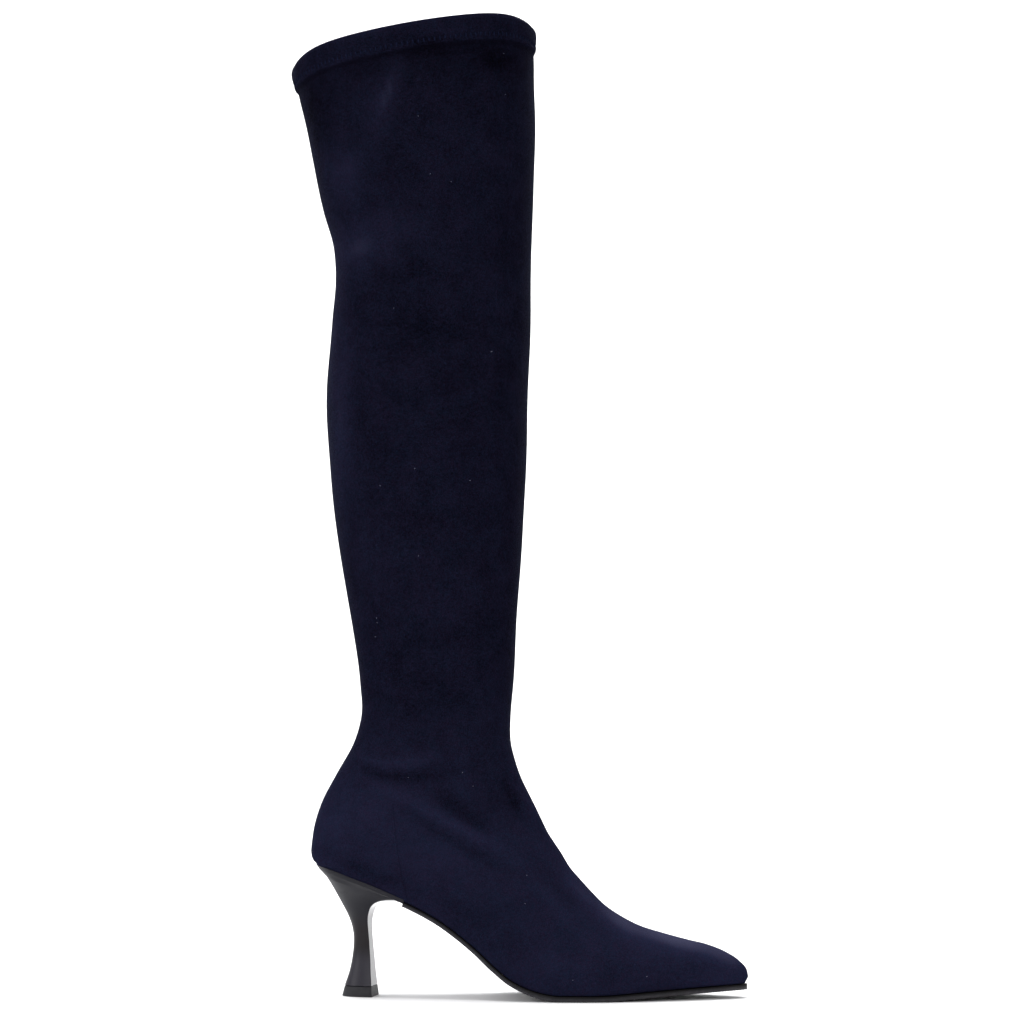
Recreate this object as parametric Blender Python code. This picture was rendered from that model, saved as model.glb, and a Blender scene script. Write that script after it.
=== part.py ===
"""Over-the-knee boot for the right foot: a hollow stretch upper on a thin sole and a tall waisted heel.

Metres, +X to the toe, +Y to the inner side of the leg, +Z up, standing on Z = 0. The pieces are
drawn with X = 0 at the back of the heel and stand under an empty that puts the origin on the
floor under the ball of the foot.
The upper is a fan of sections. Each lies in a plane through a back or under point and a front
or top point of the side outline, level at the collar and turning upright towards the toe.
"""

import math

import bmesh
import bpy
import numpy as np

# Driving sizes
FOOT_LENGTH = 0.250
BALL_PLACE = 0.155
HEEL_HEIGHT = 0.0745
ANKLE_HEIGHT = 0.0855
LEG_HEIGHT = 0.374
BALL_WIDTH = 0.078
CALF_WIDTH = 0.105
TOE_SPRING = 0.0047
TOE_ROUND = 0.010
SEAT_ROUND = 0.026

# Walls, layers and gaps
WALL = 0.0018
LASTING_MARGIN = 0.007
CUFF_HEIGHT = 0.0130
CUFF_PROUD = 0.0013
RIM_ARCH = 0.0058
RIM_ARCH_FADE = 0.070
RIM_ARCH_FULLNESS = 8
SOLE_THICKNESS = 0.0034
SOLE_PROUD = 0.0012
INSOLE_THICKNESS = 0.0025
INSOLE_INSET = 0.0032
CLEARANCE = 0.0003

# How the last's sections bend
RIDGE_POWER = 1.5
WIDEST_EDGE = 0.97
TIP_BLUNTNESS = 0.02

# Heel block and top lift
BREAST_PLACE = 0.218 * FOOT_LENGTH
HEEL_TURN = math.radians(7)
HEEL_LIP = 0.0010
HEEL_KEEL = 0.0028
HEEL_LIP_THINNING = 0.3
TOP_LIFT_HEIGHT = 0.0060
TOP_LIFT_LENGTH = 0.0772 * FOOT_LENGTH
TOP_LIFT_WIDTH = 0.0206
TOP_LIFT_REAR = 0.0688 * FOOT_LENGTH
TOP_LIFT_FLARE = 0.0015
TOP_LIFT_ROUNDNESS = 2.8

# Facets
RINGS_PER_ROW = 2
RINGS_AT_SEAT_REAR = 5
LOWER_COLUMNS = 5
UPPER_COLUMNS = 7
SOLE_STATIONS = 44
INSOLE_STATIONS = 34
HEEL_SIDE_POINTS = 9
FRONT_SHARES = (0.35, 0.75)

# The folded hem in its wall. Columns: place below the rim in hem heights, and how far it
# stands out there in shares of its proudness.
CUFF_PROFILE = (
    (0.00, 0.4),
    (0.12, 1.0),
    (0.50, 1.1),
    (0.88, 1.0),
    (1.00, 0.0),
)

# The outsole's edge. Columns: depth below its top in thicknesses, and how far the edge is set
# in there in shares of how proud it stands.
SOLE_EDGE = (
    (0.00, 0.3),
    (0.15, 0.0),
    (0.75, 0.2),
    (1.00, 0.9),
)

# Leg sections from the collar to the ankle. Columns: back point's x in foot lengths and
# height above the ankle in leg heights, front point's x and height in the same, half width
# in calf widths.
LEG_SECTIONS = (
    (-0.049, 0.998, 0.511, 1.062, 0.581),
    (-0.026, 0.936, 0.511, 0.992, 0.567),
    (-0.001, 0.856, 0.513, 0.898, 0.543),
    (0.023, 0.781, 0.510, 0.807, 0.514),
    (0.048, 0.722, 0.506, 0.730, 0.490),
    (0.053, 0.674, 0.504, 0.674, 0.486),
    (0.043, 0.610, 0.502, 0.607, 0.489),
    (0.032, 0.505, 0.498, 0.497, 0.500),
    (0.040, 0.382, 0.491, 0.369, 0.476),
    (0.060, 0.259, 0.481, 0.241, 0.433),
    (0.094, 0.135, 0.469, 0.126, 0.371),
    (0.109, 0.053, 0.463, 0.056, 0.338),
    (0.112, 0.000, 0.457, 0.000, 0.324),
)

# Heel sections, fanning round the back of the heel. Columns: back point's x in foot lengths
# and height above the seat in ankle heights, front point's x and height in the same, half
# width in ball widths, share of the section's depth at which it is widest, sharpness of its
# back (1 is an ellipse, less is blunter).
HEEL_SECTIONS = (
    (0.095, 0.825, 0.457, 0.848, 0.426, 0.475, 1.00),
    (0.055, 0.614, 0.467, 0.713, 0.413, 0.45, 0.94),
    (0.020, 0.415, 0.482, 0.585, 0.401, 0.41, 0.88),
    (0.001, 0.205, 0.499, 0.480, 0.392, 0.385, 0.82),
    (0.0015, 0.045, 0.513, 0.399, 0.388, 0.372, 0.76),
)

# Foot sections from the rear of the seat to the toe. Columns: x of the under point in foot
# lengths, step forward to the top point in foot lengths, step up to it in ankle heights,
# outer and inner half width in ball widths, widest share, sharpness, shift of the ridge to
# the inner side in ball widths.
FOOT_SECTIONS = (
    (0.0176, 0.503, 0.354, 0.387, 0.387, 0.368, 0.62, 0.004),
    (0.060, 0.470, 0.336, 0.387, 0.385, 0.335, 0.72, 0.008),
    (0.120, 0.421, 0.332, 0.387, 0.385, 0.32, 0.85, 0.013),
    (0.202, 0.354, 0.362, 0.385, 0.376, 0.30, 0.95, 0.020),
    (0.280, 0.293, 0.400, 0.385, 0.365, 0.28, 1.00, 0.026),
    (0.352, 0.241, 0.447, 0.397, 0.367, 0.27, 1.00, 0.033),
    (0.416, 0.199, 0.535, 0.423, 0.387, 0.27, 1.00, 0.039),
    (0.472, 0.170, 0.573, 0.454, 0.423, 0.27, 1.00, 0.043),
    (0.528, 0.144, 0.549, 0.479, 0.464, 0.28, 1.00, 0.045),
    (0.592, 0.118, 0.494, 0.492, 0.505, 0.30, 1.00, 0.044),
    (0.664, 0.088, 0.431, 0.474, 0.513, 0.31, 1.00, 0.042),
    (0.744, 0.058, 0.372, 0.414, 0.462, 0.33, 1.00, 0.038),
    (0.824, 0.035, 0.312, 0.328, 0.372, 0.35, 1.00, 0.032),
    (0.896, 0.018, 0.260, 0.233, 0.267, 0.38, 1.00, 0.026),
    (0.944, 0.010, 0.204, 0.162, 0.182, 0.42, 1.00, 0.020),
    (0.972, 0.008, 0.150, 0.123, 0.136, 0.45, 1.00, 0.014),
    (0.988, 0.010, 0.087, 0.097, 0.108, 0.45, 1.00, 0.010),
    (0.9932, 0.008, 0.042, 0.090, 0.097, 0.45, 1.00, 0.008),
)

# Underside of the last. Columns: x in foot lengths, share of the heel's rise, share of the
# toe spring, outer and inner half width of the feather edge in ball widths, share of the
# sole's thickness.
LAST_BOTTOM = (
    (0.0176, 1.000, 0.00, 0.333, 0.333, 0.80),
    (0.060, 0.956, 0.00, 0.333, 0.333, 0.80),
    (0.101, 0.905, 0.00, 0.333, 0.333, 0.80),
    (0.148, 0.843, 0.00, 0.333, 0.330, 0.80),
    (0.202, 0.760, 0.00, 0.328, 0.320, 0.80),
    (0.246, 0.688, 0.00, 0.323, 0.306, 0.79),
    (0.297, 0.588, 0.00, 0.321, 0.290, 0.78),
    (0.339, 0.485, 0.00, 0.333, 0.282, 0.78),
    (0.385, 0.355, 0.00, 0.358, 0.288, 0.78),
    (0.426, 0.222, 0.00, 0.386, 0.313, 0.80),
    (0.467, 0.112, 0.00, 0.412, 0.352, 0.85),
    (0.508, 0.046, 0.00, 0.434, 0.392, 0.92),
    (0.540, 0.016, 0.00, 0.447, 0.426, 0.98),
    (0.576, 0.000, 0.00, 0.455, 0.455, 1.00),
    (0.610, 0.000, 0.00, 0.454, 0.470, 1.00),
    (0.652, 0.000, 0.00, 0.443, 0.480, 1.00),
    (0.688, 0.000, 0.05, 0.423, 0.474, 1.00),
    (0.744, 0.000, 0.25, 0.370, 0.427, 1.00),
    (0.800, 0.000, 0.46, 0.308, 0.364, 1.00),
    (0.888, 0.000, 0.75, 0.205, 0.240, 1.00),
    (0.944, 0.000, 0.90, 0.128, 0.149, 1.00),
    (0.972, 0.000, 0.97, 0.095, 0.110, 1.00),
    (0.994, 0.000, 1.00, 0.075, 0.085, 1.00),
)

# Heel block below its lip. Columns: rear x in foot lengths, rear height in heel heights,
# front x and front height in the same, half width across the front in ball widths,
# roundness of the plan, drop of the middle of the front in heel heights.
HEEL_RINGS = (
    (0.0330, 0.925, 0.2060, 0.757, 0.305, 8.0, 0.036),
    (0.0430, 0.872, 0.1880, 0.755, 0.270, 6.5, 0.028),
    (0.0520, 0.818, 0.1700, 0.747, 0.230, 5.2, 0.020),
    (0.0610, 0.762, 0.1550, 0.728, 0.190, 4.2, 0.008),
    (0.0710, 0.700, 0.1430, 0.692, 0.148, 3.5, 0.000),
    (0.0802, 0.640, 0.1365, 0.641, 0.114, 3.1, 0.000),
    (0.0885, 0.572, 0.1335, 0.580, 0.090, 2.9, 0.000),
    (0.0940, 0.495, 0.1342, 0.500, 0.076, 2.8, 0.000),
    (0.0952, 0.410, 0.1366, 0.400, 0.073, 2.8, 0.000),
    (0.0925, 0.310, 0.1392, 0.295, 0.079, 2.8, 0.000),
    (0.0862, 0.200, 0.1412, 0.190, 0.094, 2.8, 0.000),
)

SEAT_REAR = LAST_BOTTOM[0][0] * FOOT_LENGTH
TOE_TIP = LAST_BOTTOM[-1][0] * FOOT_LENGTH
LAST_FLOOR = SOLE_THICKNESS + CLEARANCE
HEEL_RISE = HEEL_HEIGHT - LAST_FLOOR


def clear_scene():
    for thing in list(bpy.data.objects):
        bpy.data.objects.remove(thing, do_unlink=True)


def material(name, colour, roughness, coat=0.0):
    made = bpy.data.materials.new(name)
    made.use_nodes = True
    shader = made.node_tree.nodes["Principled BSDF"]
    shader.inputs["Base Color"].default_value = (*colour, 1.0)
    shader.inputs["Roughness"].default_value = roughness
    shader.inputs["Metallic"].default_value = 0.0
    shader.inputs["Coat Weight"].default_value = coat
    return made


def steady_slopes(places, values):
    """Slopes for a cubic through the values that never overshoots, so flat runs stay flat."""
    steps = np.diff(places)
    rises = np.diff(values) / steps
    slopes = np.zeros(len(values))
    slopes[0], slopes[-1] = rises[0], rises[-1]
    for i in range(1, len(values) - 1):
        before, after = rises[i - 1], rises[i]
        if before * after > 0:
            first = 2 * steps[i] + steps[i - 1]
            second = steps[i] + 2 * steps[i - 1]
            slopes[i] = (first + second) / (first / before + second / after)
    return slopes


def free_slopes(places, values):
    """Slopes for a cubic that turns smoothly through the values."""
    steps = np.diff(places)
    rises = np.diff(values) / steps
    slopes = np.zeros(len(values))
    slopes[0], slopes[-1] = rises[0], rises[-1]
    inner = rises[:-1] * steps[1:] + rises[1:] * steps[:-1]
    slopes[1:-1] = inner / (steps[:-1] + steps[1:])
    return slopes


def cubic(places, values, at, slopes_of=steady_slopes):
    """The values read at other places from a cubic through them."""
    places = np.asarray(places, float)
    values = np.asarray(values, float)
    at = np.atleast_1d(np.asarray(at, float))
    slopes = slopes_of(places, values)
    index = np.clip(np.searchsorted(places, at, side="right") - 1, 0, len(places) - 2)
    span = places[index + 1] - places[index]
    t = np.clip((at - places[index]) / span, 0.0, 1.0)
    rise = values[index + 1] - values[index]
    start, end = slopes[index] * span, slopes[index + 1] * span
    return values[index] + t * (start + t * ((3 * rise - 2 * start - end) + t * (start + end - 2 * rise)))


def end_round(distance, reach):
    """Rises from 0 to 1 as a quarter ellipse over the reach."""
    share = np.clip(np.asarray(distance, float) / reach, 0.0, 1.0)
    return np.sqrt(1.0 - (1.0 - share) ** 2)


def last_bottom(x):
    """Height of the last's underside at x."""
    rows = np.array(LAST_BOTTOM)
    heights = LAST_FLOOR + rows[:, 1] * HEEL_RISE + rows[:, 2] * TOE_SPRING
    return cubic(rows[:, 0] * FOOT_LENGTH, heights, x)


def bottom_frame(x):
    """Points on the last's underside at x, and the unit normals up out of it, as (x, z)."""
    x = np.atleast_1d(np.asarray(x, float))
    nudge = FOOT_LENGTH * 1e-4
    slope = (last_bottom(x + nudge) - last_bottom(x - nudge)) / (2 * nudge)
    normals = np.stack([-slope, np.ones_like(slope)], axis=1)
    normals /= np.linalg.norm(normals, axis=1)[:, None]
    return np.stack([x, last_bottom(x)], axis=1), normals


def feather(x, outset=0.0):
    """Outer and inner half widths of the feather edge at x, moved outwards by the outset."""
    rows = np.array(LAST_BOTTOM)
    x = np.atleast_1d(np.asarray(x, float))
    ends = end_round(TOE_TIP + outset - x, TOE_ROUND + max(outset, 0.0))
    ends *= end_round(x - SEAT_REAR + outset, SEAT_ROUND + outset)
    widths = [cubic(rows[:, 0] * FOOT_LENGTH, rows[:, side] * BALL_WIDTH, x) for side in (3, 4)]
    return [np.maximum(width + outset, 0.0) * ends for width in widths]


def section_rows():
    """Every section of the upper in metres: back x and z, front x and z, outer and inner half
    width, widest share, sharpness, ridge shift."""
    ankle = HEEL_HEIGHT + ANKLE_HEIGHT
    rows = []
    for back_x, back_up, front_x, front_up, half in LEG_SECTIONS:
        back = (back_x * FOOT_LENGTH, ankle + back_up * LEG_HEIGHT)
        front = (front_x * FOOT_LENGTH, ankle + front_up * LEG_HEIGHT)
        wide = half * CALF_WIDTH
        rows.append((*back, *front, wide, wide, 0.5, 1.0, 0.0))
    for back_x, back_up, front_x, front_up, half, widest, sharp in HEEL_SECTIONS:
        back = (back_x * FOOT_LENGTH, HEEL_HEIGHT + back_up * ANKLE_HEIGHT)
        front = (front_x * FOOT_LENGTH, HEEL_HEIGHT + front_up * ANKLE_HEIGHT)
        wide = half * BALL_WIDTH
        rows.append((*back, *front, wide, wide, widest, sharp, 0.0))
    for under_x, forward, up, outer, inner, widest, sharp, ridge in FOOT_SECTIONS:
        under = (under_x * FOOT_LENGTH, last_bottom(under_x * FOOT_LENGTH)[0])
        top = (under[0] + forward * FOOT_LENGTH, under[1] + up * ANKLE_HEIGHT)
        wide = (outer * BALL_WIDTH, inner * BALL_WIDTH)
        rows.append((*under, *top, *wide, widest, sharp, ridge * BALL_WIDTH))
    return np.array(rows)


def section_places(rows):
    """How far along the boot each section lies: the mean of the back's and the front's travel."""
    back = np.linalg.norm(np.diff(rows[:, 0:2], axis=0), axis=1)
    front = np.linalg.norm(np.diff(rows[:, 2:4], axis=0), axis=1)
    return np.concatenate([[0.0], np.cumsum((back + front) / 2)])


def ring_places(places):
    """Where the upper's rings lie: the steps of the cuff, then an even few to each section."""
    cuff = [place * CUFF_HEIGHT for place, _ in CUFF_PROFILE]
    shoulder = cuff[-1] - cuff[-2]
    between = []
    seat = len(LEG_SECTIONS) + len(HEEL_SECTIONS)
    for row, (start, end) in enumerate(zip(places[:-1], places[1:])):
        at_seat_rear = row == seat
        count = RINGS_AT_SEAT_REAR if at_seat_rear else RINGS_PER_ROW
        power = 2 if at_seat_rear else 1
        between += [start + (end - start) * (k / count) ** power for k in range(count)]
    below = [place for place in between if place > CUFF_HEIGHT + shoulder]
    return np.array(cuff + below + [places[-1]])


def section_turns(start):
    """Angles round half a section, from its under edge past its widest point to its top."""
    lower = [start + (math.pi / 2 - start) * k / LOWER_COLUMNS for k in range(LOWER_COLUMNS)]
    return lower + [math.pi / 2 * (1 + k / UPPER_COLUMNS) for k in range(UPPER_COLUMNS + 1)]


def upper_ring(row, on_foot, place):
    """One section of the last as points from the outer margin over the top to the inner one."""
    back_x, back_z, front_x, front_z, outer, inner, widest, sharp, ridge = row
    rounding = end_round(TOE_TIP - back_x, TOE_ROUND)
    edges = feather(back_x) if on_foot else (np.zeros(1), np.zeros(1))
    opening = feather(back_x, -LASTING_MARGIN) if on_foot else (np.zeros(1), np.zeros(1))
    arch = RIM_ARCH * max(0.0, 1.0 - place / RIM_ARCH_FADE)
    sides = []
    for sign, half, edge, gap in zip((-1, 1), (outer, inner), edges, opening):
        half = float(half * rounding) if on_foot else half
        start = math.asin(min(float(edge[0]) / half, WIDEST_EDGE) ** (1.0 / sharp))
        below = widest / math.cos(start)
        points = [(back_x, sign * float(gap[0]), back_z)]
        for turn in section_turns(start):
            reach = below if turn < math.pi / 2 else 1.0 - widest
            along = widest - reach * math.cos(turn)
            side_share = max(math.sin(turn), 0.0)
            across = sign * half * side_share ** (sharp if turn < math.pi / 2 else 1.0)
            across += ridge * max(along, 0.0) ** RIDGE_POWER
            lift = arch * (1.0 - abs(math.cos(turn)) ** RIM_ARCH_FULLNESS)
            x = back_x + (front_x - back_x) * along
            z = back_z + (front_z - back_z) * along + lift
            points.append((x, across, z))
        sides.append(points)
    return sides[0] + sides[1][-2::-1]


class Skin:
    """A surface whose points are shared where they fall together."""

    def __init__(self):
        self.points = []
        self.faces = []
        self.known = {}
        self.ring_of = []

    def point(self, place, ring=0):
        key = tuple(round(value, 6) for value in place)
        if key not in self.known:
            self.known[key] = len(self.points)
            self.points.append(tuple(float(value) for value in place))
            self.ring_of.append(ring)
        return self.known[key]

    def face(self, corners):
        kept = []
        for corner in corners:
            if corner not in kept:
                kept.append(corner)
        if len(kept) > 2:
            self.faces.append(tuple(kept))

    def strip(self, first, second):
        for k in range(len(first) - 1):
            self.face((first[k], first[k + 1], second[k + 1], second[k]))

    def loop_strip(self, first, second):
        self.strip(first + first[:1], second + second[:1])

    def zip_up(self, ring):
        """Closes a narrow ring by joining each point to the one across from it."""
        for k in range(len(ring) // 2):
            self.face((ring[k], ring[k + 1], ring[-2 - k], ring[-1 - k]))


def normals_of(points, faces):
    """Unit normals at the points, and how much further an even offset has to go at each."""
    points = np.array(points)
    total = np.zeros_like(points)
    seen = [[] for _ in points]
    for face in faces:
        corners = points[list(face)]
        centre = corners.mean(axis=0)
        area = sum(np.cross(a - centre, b - centre) for a, b in zip(corners, np.roll(corners, -1, axis=0)))
        size = np.linalg.norm(area)
        if size == 0:
            continue
        normal = area / size
        for k, corner in enumerate(face):
            before = corners[k - 1] - corners[k]
            after = corners[(k + 1) % len(face)] - corners[k]
            lengths = np.linalg.norm(before) * np.linalg.norm(after)
            angle = math.acos(np.clip(before @ after / lengths, -1, 1))
            total[corner] += normal * angle
            seen[corner].append((normal, angle))
    total /= np.linalg.norm(total, axis=1)[:, None]
    even = np.ones(len(points))
    for k, pairs in enumerate(seen):
        weight = sum(angle for _, angle in pairs)
        lean = sum(float(normal @ total[k]) * angle for normal, angle in pairs) / weight
        even[k] = 1.0 / max(lean, 0.7)
    return total, even


def border_edges(faces):
    """The edges that only one face uses, in that face's direction."""
    used = {}
    for face in faces:
        for k, corner in enumerate(face):
            used[(corner, face[(k + 1) % len(face)])] = True
    return [edge for edge in used if (edge[1], edge[0]) not in used]


def build(name, points, faces, finish):
    """An object from points and faces, its faces turned outwards and its round parts smooth."""
    mesh = bpy.data.meshes.new(name)
    mesh.from_pydata([tuple(point) for point in points], [], faces)
    work = bmesh.new()
    work.from_mesh(mesh)
    bmesh.ops.recalc_face_normals(work, faces=work.faces)
    work.to_mesh(mesh)
    work.free()
    mesh.materials.append(finish)
    mesh.shade_smooth()
    mesh.set_sharp_from_angle(angle=math.radians(35))
    made = bpy.data.objects.new(name, mesh)
    bpy.context.scene.collection.objects.link(made)
    made.parent = bpy.data.objects["ball_of_foot"]
    return made


def cuff_stand(place):
    """How far the folded hem stands out of the wall at a distance below the rim."""
    places, shares = zip(*CUFF_PROFILE)
    return float(np.interp(place / CUFF_HEIGHT, places, shares)) * CUFF_PROUD


def make_upper(finish):
    rows = section_rows()
    places = section_places(rows)
    seat = places[len(LEG_SECTIONS) + len(HEEL_SECTIONS)]
    stations = ring_places(places)
    columns = [cubic(places, rows[:, k], stations, free_slopes) for k in range(rows.shape[1])]
    skin = Skin()
    rings = []
    for i, place in enumerate(stations):
        row = [column[i] for column in columns]
        on_foot = place > seat
        if on_foot:
            row[1] = last_bottom(row[0])[0]
        rings.append([skin.point(point, i) for point in upper_ring(row, on_foot, place)])
    for first, second in zip(rings[:-1], rings[1:]):
        skin.strip(first, second)
    skin.zip_up(rings[-1])
    normals, even = normals_of(skin.points, skin.faces)
    lateral = np.mean([normals[k] for k in rings[len(rings) // 3][2:LOWER_COLUMNS]], axis=0)
    out = 1.0 if lateral[1] < 0 else -1.0
    base = np.array(skin.points)
    stand = np.array([cuff_stand(stations[ring]) for ring in skin.ring_of])
    outside = base + normals * (out * stand)[:, None]
    inside = base - normals * (out * WALL * even)[:, None]
    count = len(base)
    faces = list(skin.faces)
    faces += [tuple(count + corner for corner in reversed(face)) for face in skin.faces]
    faces += [(b, a, count + a, count + b) for a, b in border_edges(skin.faces)]
    return build("upper", np.concatenate([outside, inside]), faces, finish)


def sole_share(x):
    """How much of its full thickness the sole has at x: it is skived thinner under the arch."""
    rows = np.array(LAST_BOTTOM)
    return cubic(rows[:, 0] * FOOT_LENGTH, rows[:, 5], x)


def slab(name, stations, outset, layers, finish):
    """A flat layer that follows the last's underside. Each layer gives its distances along the
    underside's normal and how far its edge is set in from the outline."""
    centres, normals = bottom_frame(stations)
    outer, inner = feather(stations, outset)
    skin = Skin()
    rings = []
    for k in range(len(stations)):
        ring = []
        for sign, half in ((-1, outer[k]), (1, inner[k])):
            side = []
            for distance, inset in layers:
                x, z = centres[k] + normals[k] * distance[k]
                narrowed = max(half - inset * min(1.0, half / SOLE_THICKNESS), half * 0.5)
                side.append(skin.point((x, sign * narrowed, z)))
            ring += side if sign < 0 else side[::-1]
        rings.append(ring)
    for first, second in zip(rings[:-1], rings[1:]):
        skin.loop_strip(first, second)
    skin.zip_up(rings[0])
    skin.zip_up(rings[-1])
    return build(name, skin.points, skin.faces, finish)


def bunched(start, end, count, at_start, at_end):
    """Stations from start to end, closer together at the ends that are round."""
    share = np.linspace(0.0, 1.0, count)
    if at_start and at_end:
        share = (1.0 - np.cos(math.pi * share)) / 2
    elif at_end:
        share = np.sin(share * math.pi / 2)
    return start + (end - start) * share


def make_outsole(finish):
    start = BREAST_PLACE + CLEARANCE
    end = TOE_TIP + SOLE_PROUD * (1.0 - TIP_BLUNTNESS)
    stations = bunched(start, end, SOLE_STATIONS, False, True)
    depth = SOLE_THICKNESS * sole_share(stations)
    layers = [(-CLEARANCE - depth * down, SOLE_PROUD * inset) for down, inset in SOLE_EDGE]
    return slab("outsole", stations, SOLE_PROUD, layers, finish)


def make_insole(finish):
    reach = TIP_BLUNTNESS * INSOLE_INSET
    start = SEAT_REAR + INSOLE_INSET + reach
    end = TOE_TIP - INSOLE_INSET - reach
    stations = bunched(start, end, INSOLE_STATIONS, True, True)
    under = np.full(INSOLE_STATIONS, WALL + CLEARANCE)
    layers = ((under, 0.0), (under + INSOLE_THICKNESS, 0.0))
    return slab("insole", stations, -INSOLE_INSET, layers, finish)


def heel_plan(rear, front, half, roundness, turn, keel=0.0):
    """One ring of the heel from (x, z) at its rear and front: a flat front, lower in the middle
    by the keel, and a round back."""
    ring = []
    middle = (rear[0] + front[0]) / 2
    for sign in (-1, 1):
        places = [(0.0, half * share, keel * (1.0 - share**2)) for share in FRONT_SHARES]
        for k in range(HEEL_SIDE_POINTS + 1):
            share = math.sin(math.pi / 2 * k / HEEL_SIDE_POINTS)
            places.append((share, half * (1.0 - share**roundness) ** 0.5, 0.0))
        side = []
        for share, across, drop in places:
            along = front[0] + (rear[0] - front[0]) * share - middle
            x = middle + along * math.cos(turn) + sign * across * math.sin(turn)
            y = sign * across * math.cos(turn) - along * math.sin(turn)
            side.append((x, y, front[1] + (rear[1] - front[1]) * share - drop))
        ring += side if sign < 0 else side[-2::-1]
    return ring


def seat_plan(lip, keel):
    """The heel's top edge: the feather edge from the breast to the rear, with the lip's depth
    below it, which thins out towards the rear, and the keel's depth at the middle of the breast."""
    shares = np.sin(math.pi / 2 * np.arange(HEEL_SIDE_POINTS + 1) / HEEL_SIDE_POINTS)
    stations = BREAST_PLACE + (SEAT_REAR - BREAST_PLACE) * shares
    centres, normals = bottom_frame(stations)
    outer, inner = feather(stations)
    lean = np.stack([normals[:, 0] * (1.0 - shares), normals[:, 1]], axis=1)
    thinned = lip * (1.0 - HEEL_LIP_THINNING * shares)
    places = centres - normals * CLEARANCE - lean * thinned[:, None]
    sides = []
    for sign, half in ((-1, outer), (1, inner)):
        side = []
        for share in FRONT_SHARES:
            x, z = places[0] - normals[0] * keel * (1.0 - share**2)
            side.append((x, sign * half[0] * share, z))
        side += [(places[k][0], sign * half[k], places[k][1]) for k in range(len(stations))]
        sides.append(side)
    return sides[0] + sides[1][-2::-1]


def loft(name, rings, finish):
    """A solid through closed rings, each end closed by joining the points across from each other."""
    skin = Skin()
    indexed = [[skin.point(point) for point in ring] for ring in rings]
    for first, second in zip(indexed[:-1], indexed[1:]):
        skin.loop_strip(first, second)
    skin.zip_up(indexed[0])
    skin.zip_up(indexed[-1])
    return build(name, skin.points, skin.faces, finish)


def make_heel(finish):
    rings = [seat_plan(0.0, 0.0), seat_plan(HEEL_LIP, HEEL_KEEL)]
    count = len(HEEL_RINGS)
    for k, (rear_x, rear_up, front_x, front_up, half, roundness, drop) in enumerate(HEEL_RINGS):
        rear = (rear_x * FOOT_LENGTH, rear_up * HEEL_HEIGHT)
        front = (front_x * FOOT_LENGTH, front_up * HEEL_HEIGHT)
        turn = HEEL_TURN * min(1.0, 2 * k / count)
        rings.append(heel_plan(rear, front, half * BALL_WIDTH, roundness, turn, drop * HEEL_HEIGHT))
    foot = TOP_LIFT_HEIGHT + CLEARANCE
    rear = (TOP_LIFT_REAR + TOP_LIFT_FLARE, foot)
    front = (TOP_LIFT_REAR + TOP_LIFT_LENGTH - TOP_LIFT_FLARE / 3, foot)
    rings.append(heel_plan(rear, front, TOP_LIFT_WIDTH / 2 - TOP_LIFT_FLARE, TOP_LIFT_ROUNDNESS, HEEL_TURN))
    return loft("heel", rings, finish)


def make_top_lift(finish):
    rings = []
    for height, flare in ((TOP_LIFT_HEIGHT, TOP_LIFT_FLARE), (0.0, 0.0)):
        rear = (TOP_LIFT_REAR + flare, height)
        front = (TOP_LIFT_REAR + TOP_LIFT_LENGTH - flare / 3, height)
        rings.append(heel_plan(rear, front, TOP_LIFT_WIDTH / 2 - flare, TOP_LIFT_ROUNDNESS, HEEL_TURN))
    return loft("top_lift", rings, finish)


def main():
    clear_scene()
    bpy.context.scene.unit_settings.scale_length = 1.0
    stand = bpy.data.objects.new("ball_of_foot", None)
    stand.location = (-BALL_PLACE, 0.0, 0.0)
    bpy.context.scene.collection.objects.link(stand)
    suede = material("navy_suede", (0.012, 0.014, 0.045), 0.85)
    sole_rubber = material("sole_rubber", (0.010, 0.010, 0.012), 0.55)
    sock = material("sock_lining", (0.030, 0.028, 0.034), 0.80)
    gloss = material("heel_gloss", (0.008, 0.008, 0.010), 0.12, 1.0)
    lift_rubber = material("lift_rubber", (0.012, 0.012, 0.013), 0.60)
    make_upper(suede)
    make_insole(sock)
    make_outsole(sole_rubber)
    make_heel(gloss)
    make_top_lift(lift_rubber)


main()
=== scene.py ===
"""Looks of a navy suede over-the-knee boot for the right foot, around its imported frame.

Metres, +X to the toe, +Y to the inner side of the leg, +Z up. The forms are worked out with X = 0
at the back of the heel and moved so that the origin is on the floor under the ball of the foot.
"""

import math

import bmesh
import bpy
import numpy as np
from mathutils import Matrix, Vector

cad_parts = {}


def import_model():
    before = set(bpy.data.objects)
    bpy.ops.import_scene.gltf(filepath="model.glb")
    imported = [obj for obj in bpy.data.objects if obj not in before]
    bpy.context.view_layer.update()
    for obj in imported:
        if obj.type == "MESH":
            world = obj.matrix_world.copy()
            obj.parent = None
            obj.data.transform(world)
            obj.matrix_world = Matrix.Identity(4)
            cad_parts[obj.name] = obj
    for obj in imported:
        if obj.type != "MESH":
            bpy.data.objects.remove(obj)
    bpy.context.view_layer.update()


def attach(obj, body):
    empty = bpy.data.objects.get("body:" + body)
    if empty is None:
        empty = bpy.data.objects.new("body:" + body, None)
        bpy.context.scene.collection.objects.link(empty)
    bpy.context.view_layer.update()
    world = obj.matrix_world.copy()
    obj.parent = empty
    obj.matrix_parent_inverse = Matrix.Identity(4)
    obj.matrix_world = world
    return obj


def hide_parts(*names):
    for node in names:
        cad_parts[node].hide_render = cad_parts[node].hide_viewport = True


# Driving sizes, the same as the solids have
FOOT_LENGTH = 0.250
BALL_PLACE = 0.155
HEEL_HEIGHT = 0.0745
ANKLE_HEIGHT = 0.0855
LEG_HEIGHT = 0.374
BALL_WIDTH = 0.078
CALF_WIDTH = 0.105
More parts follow.
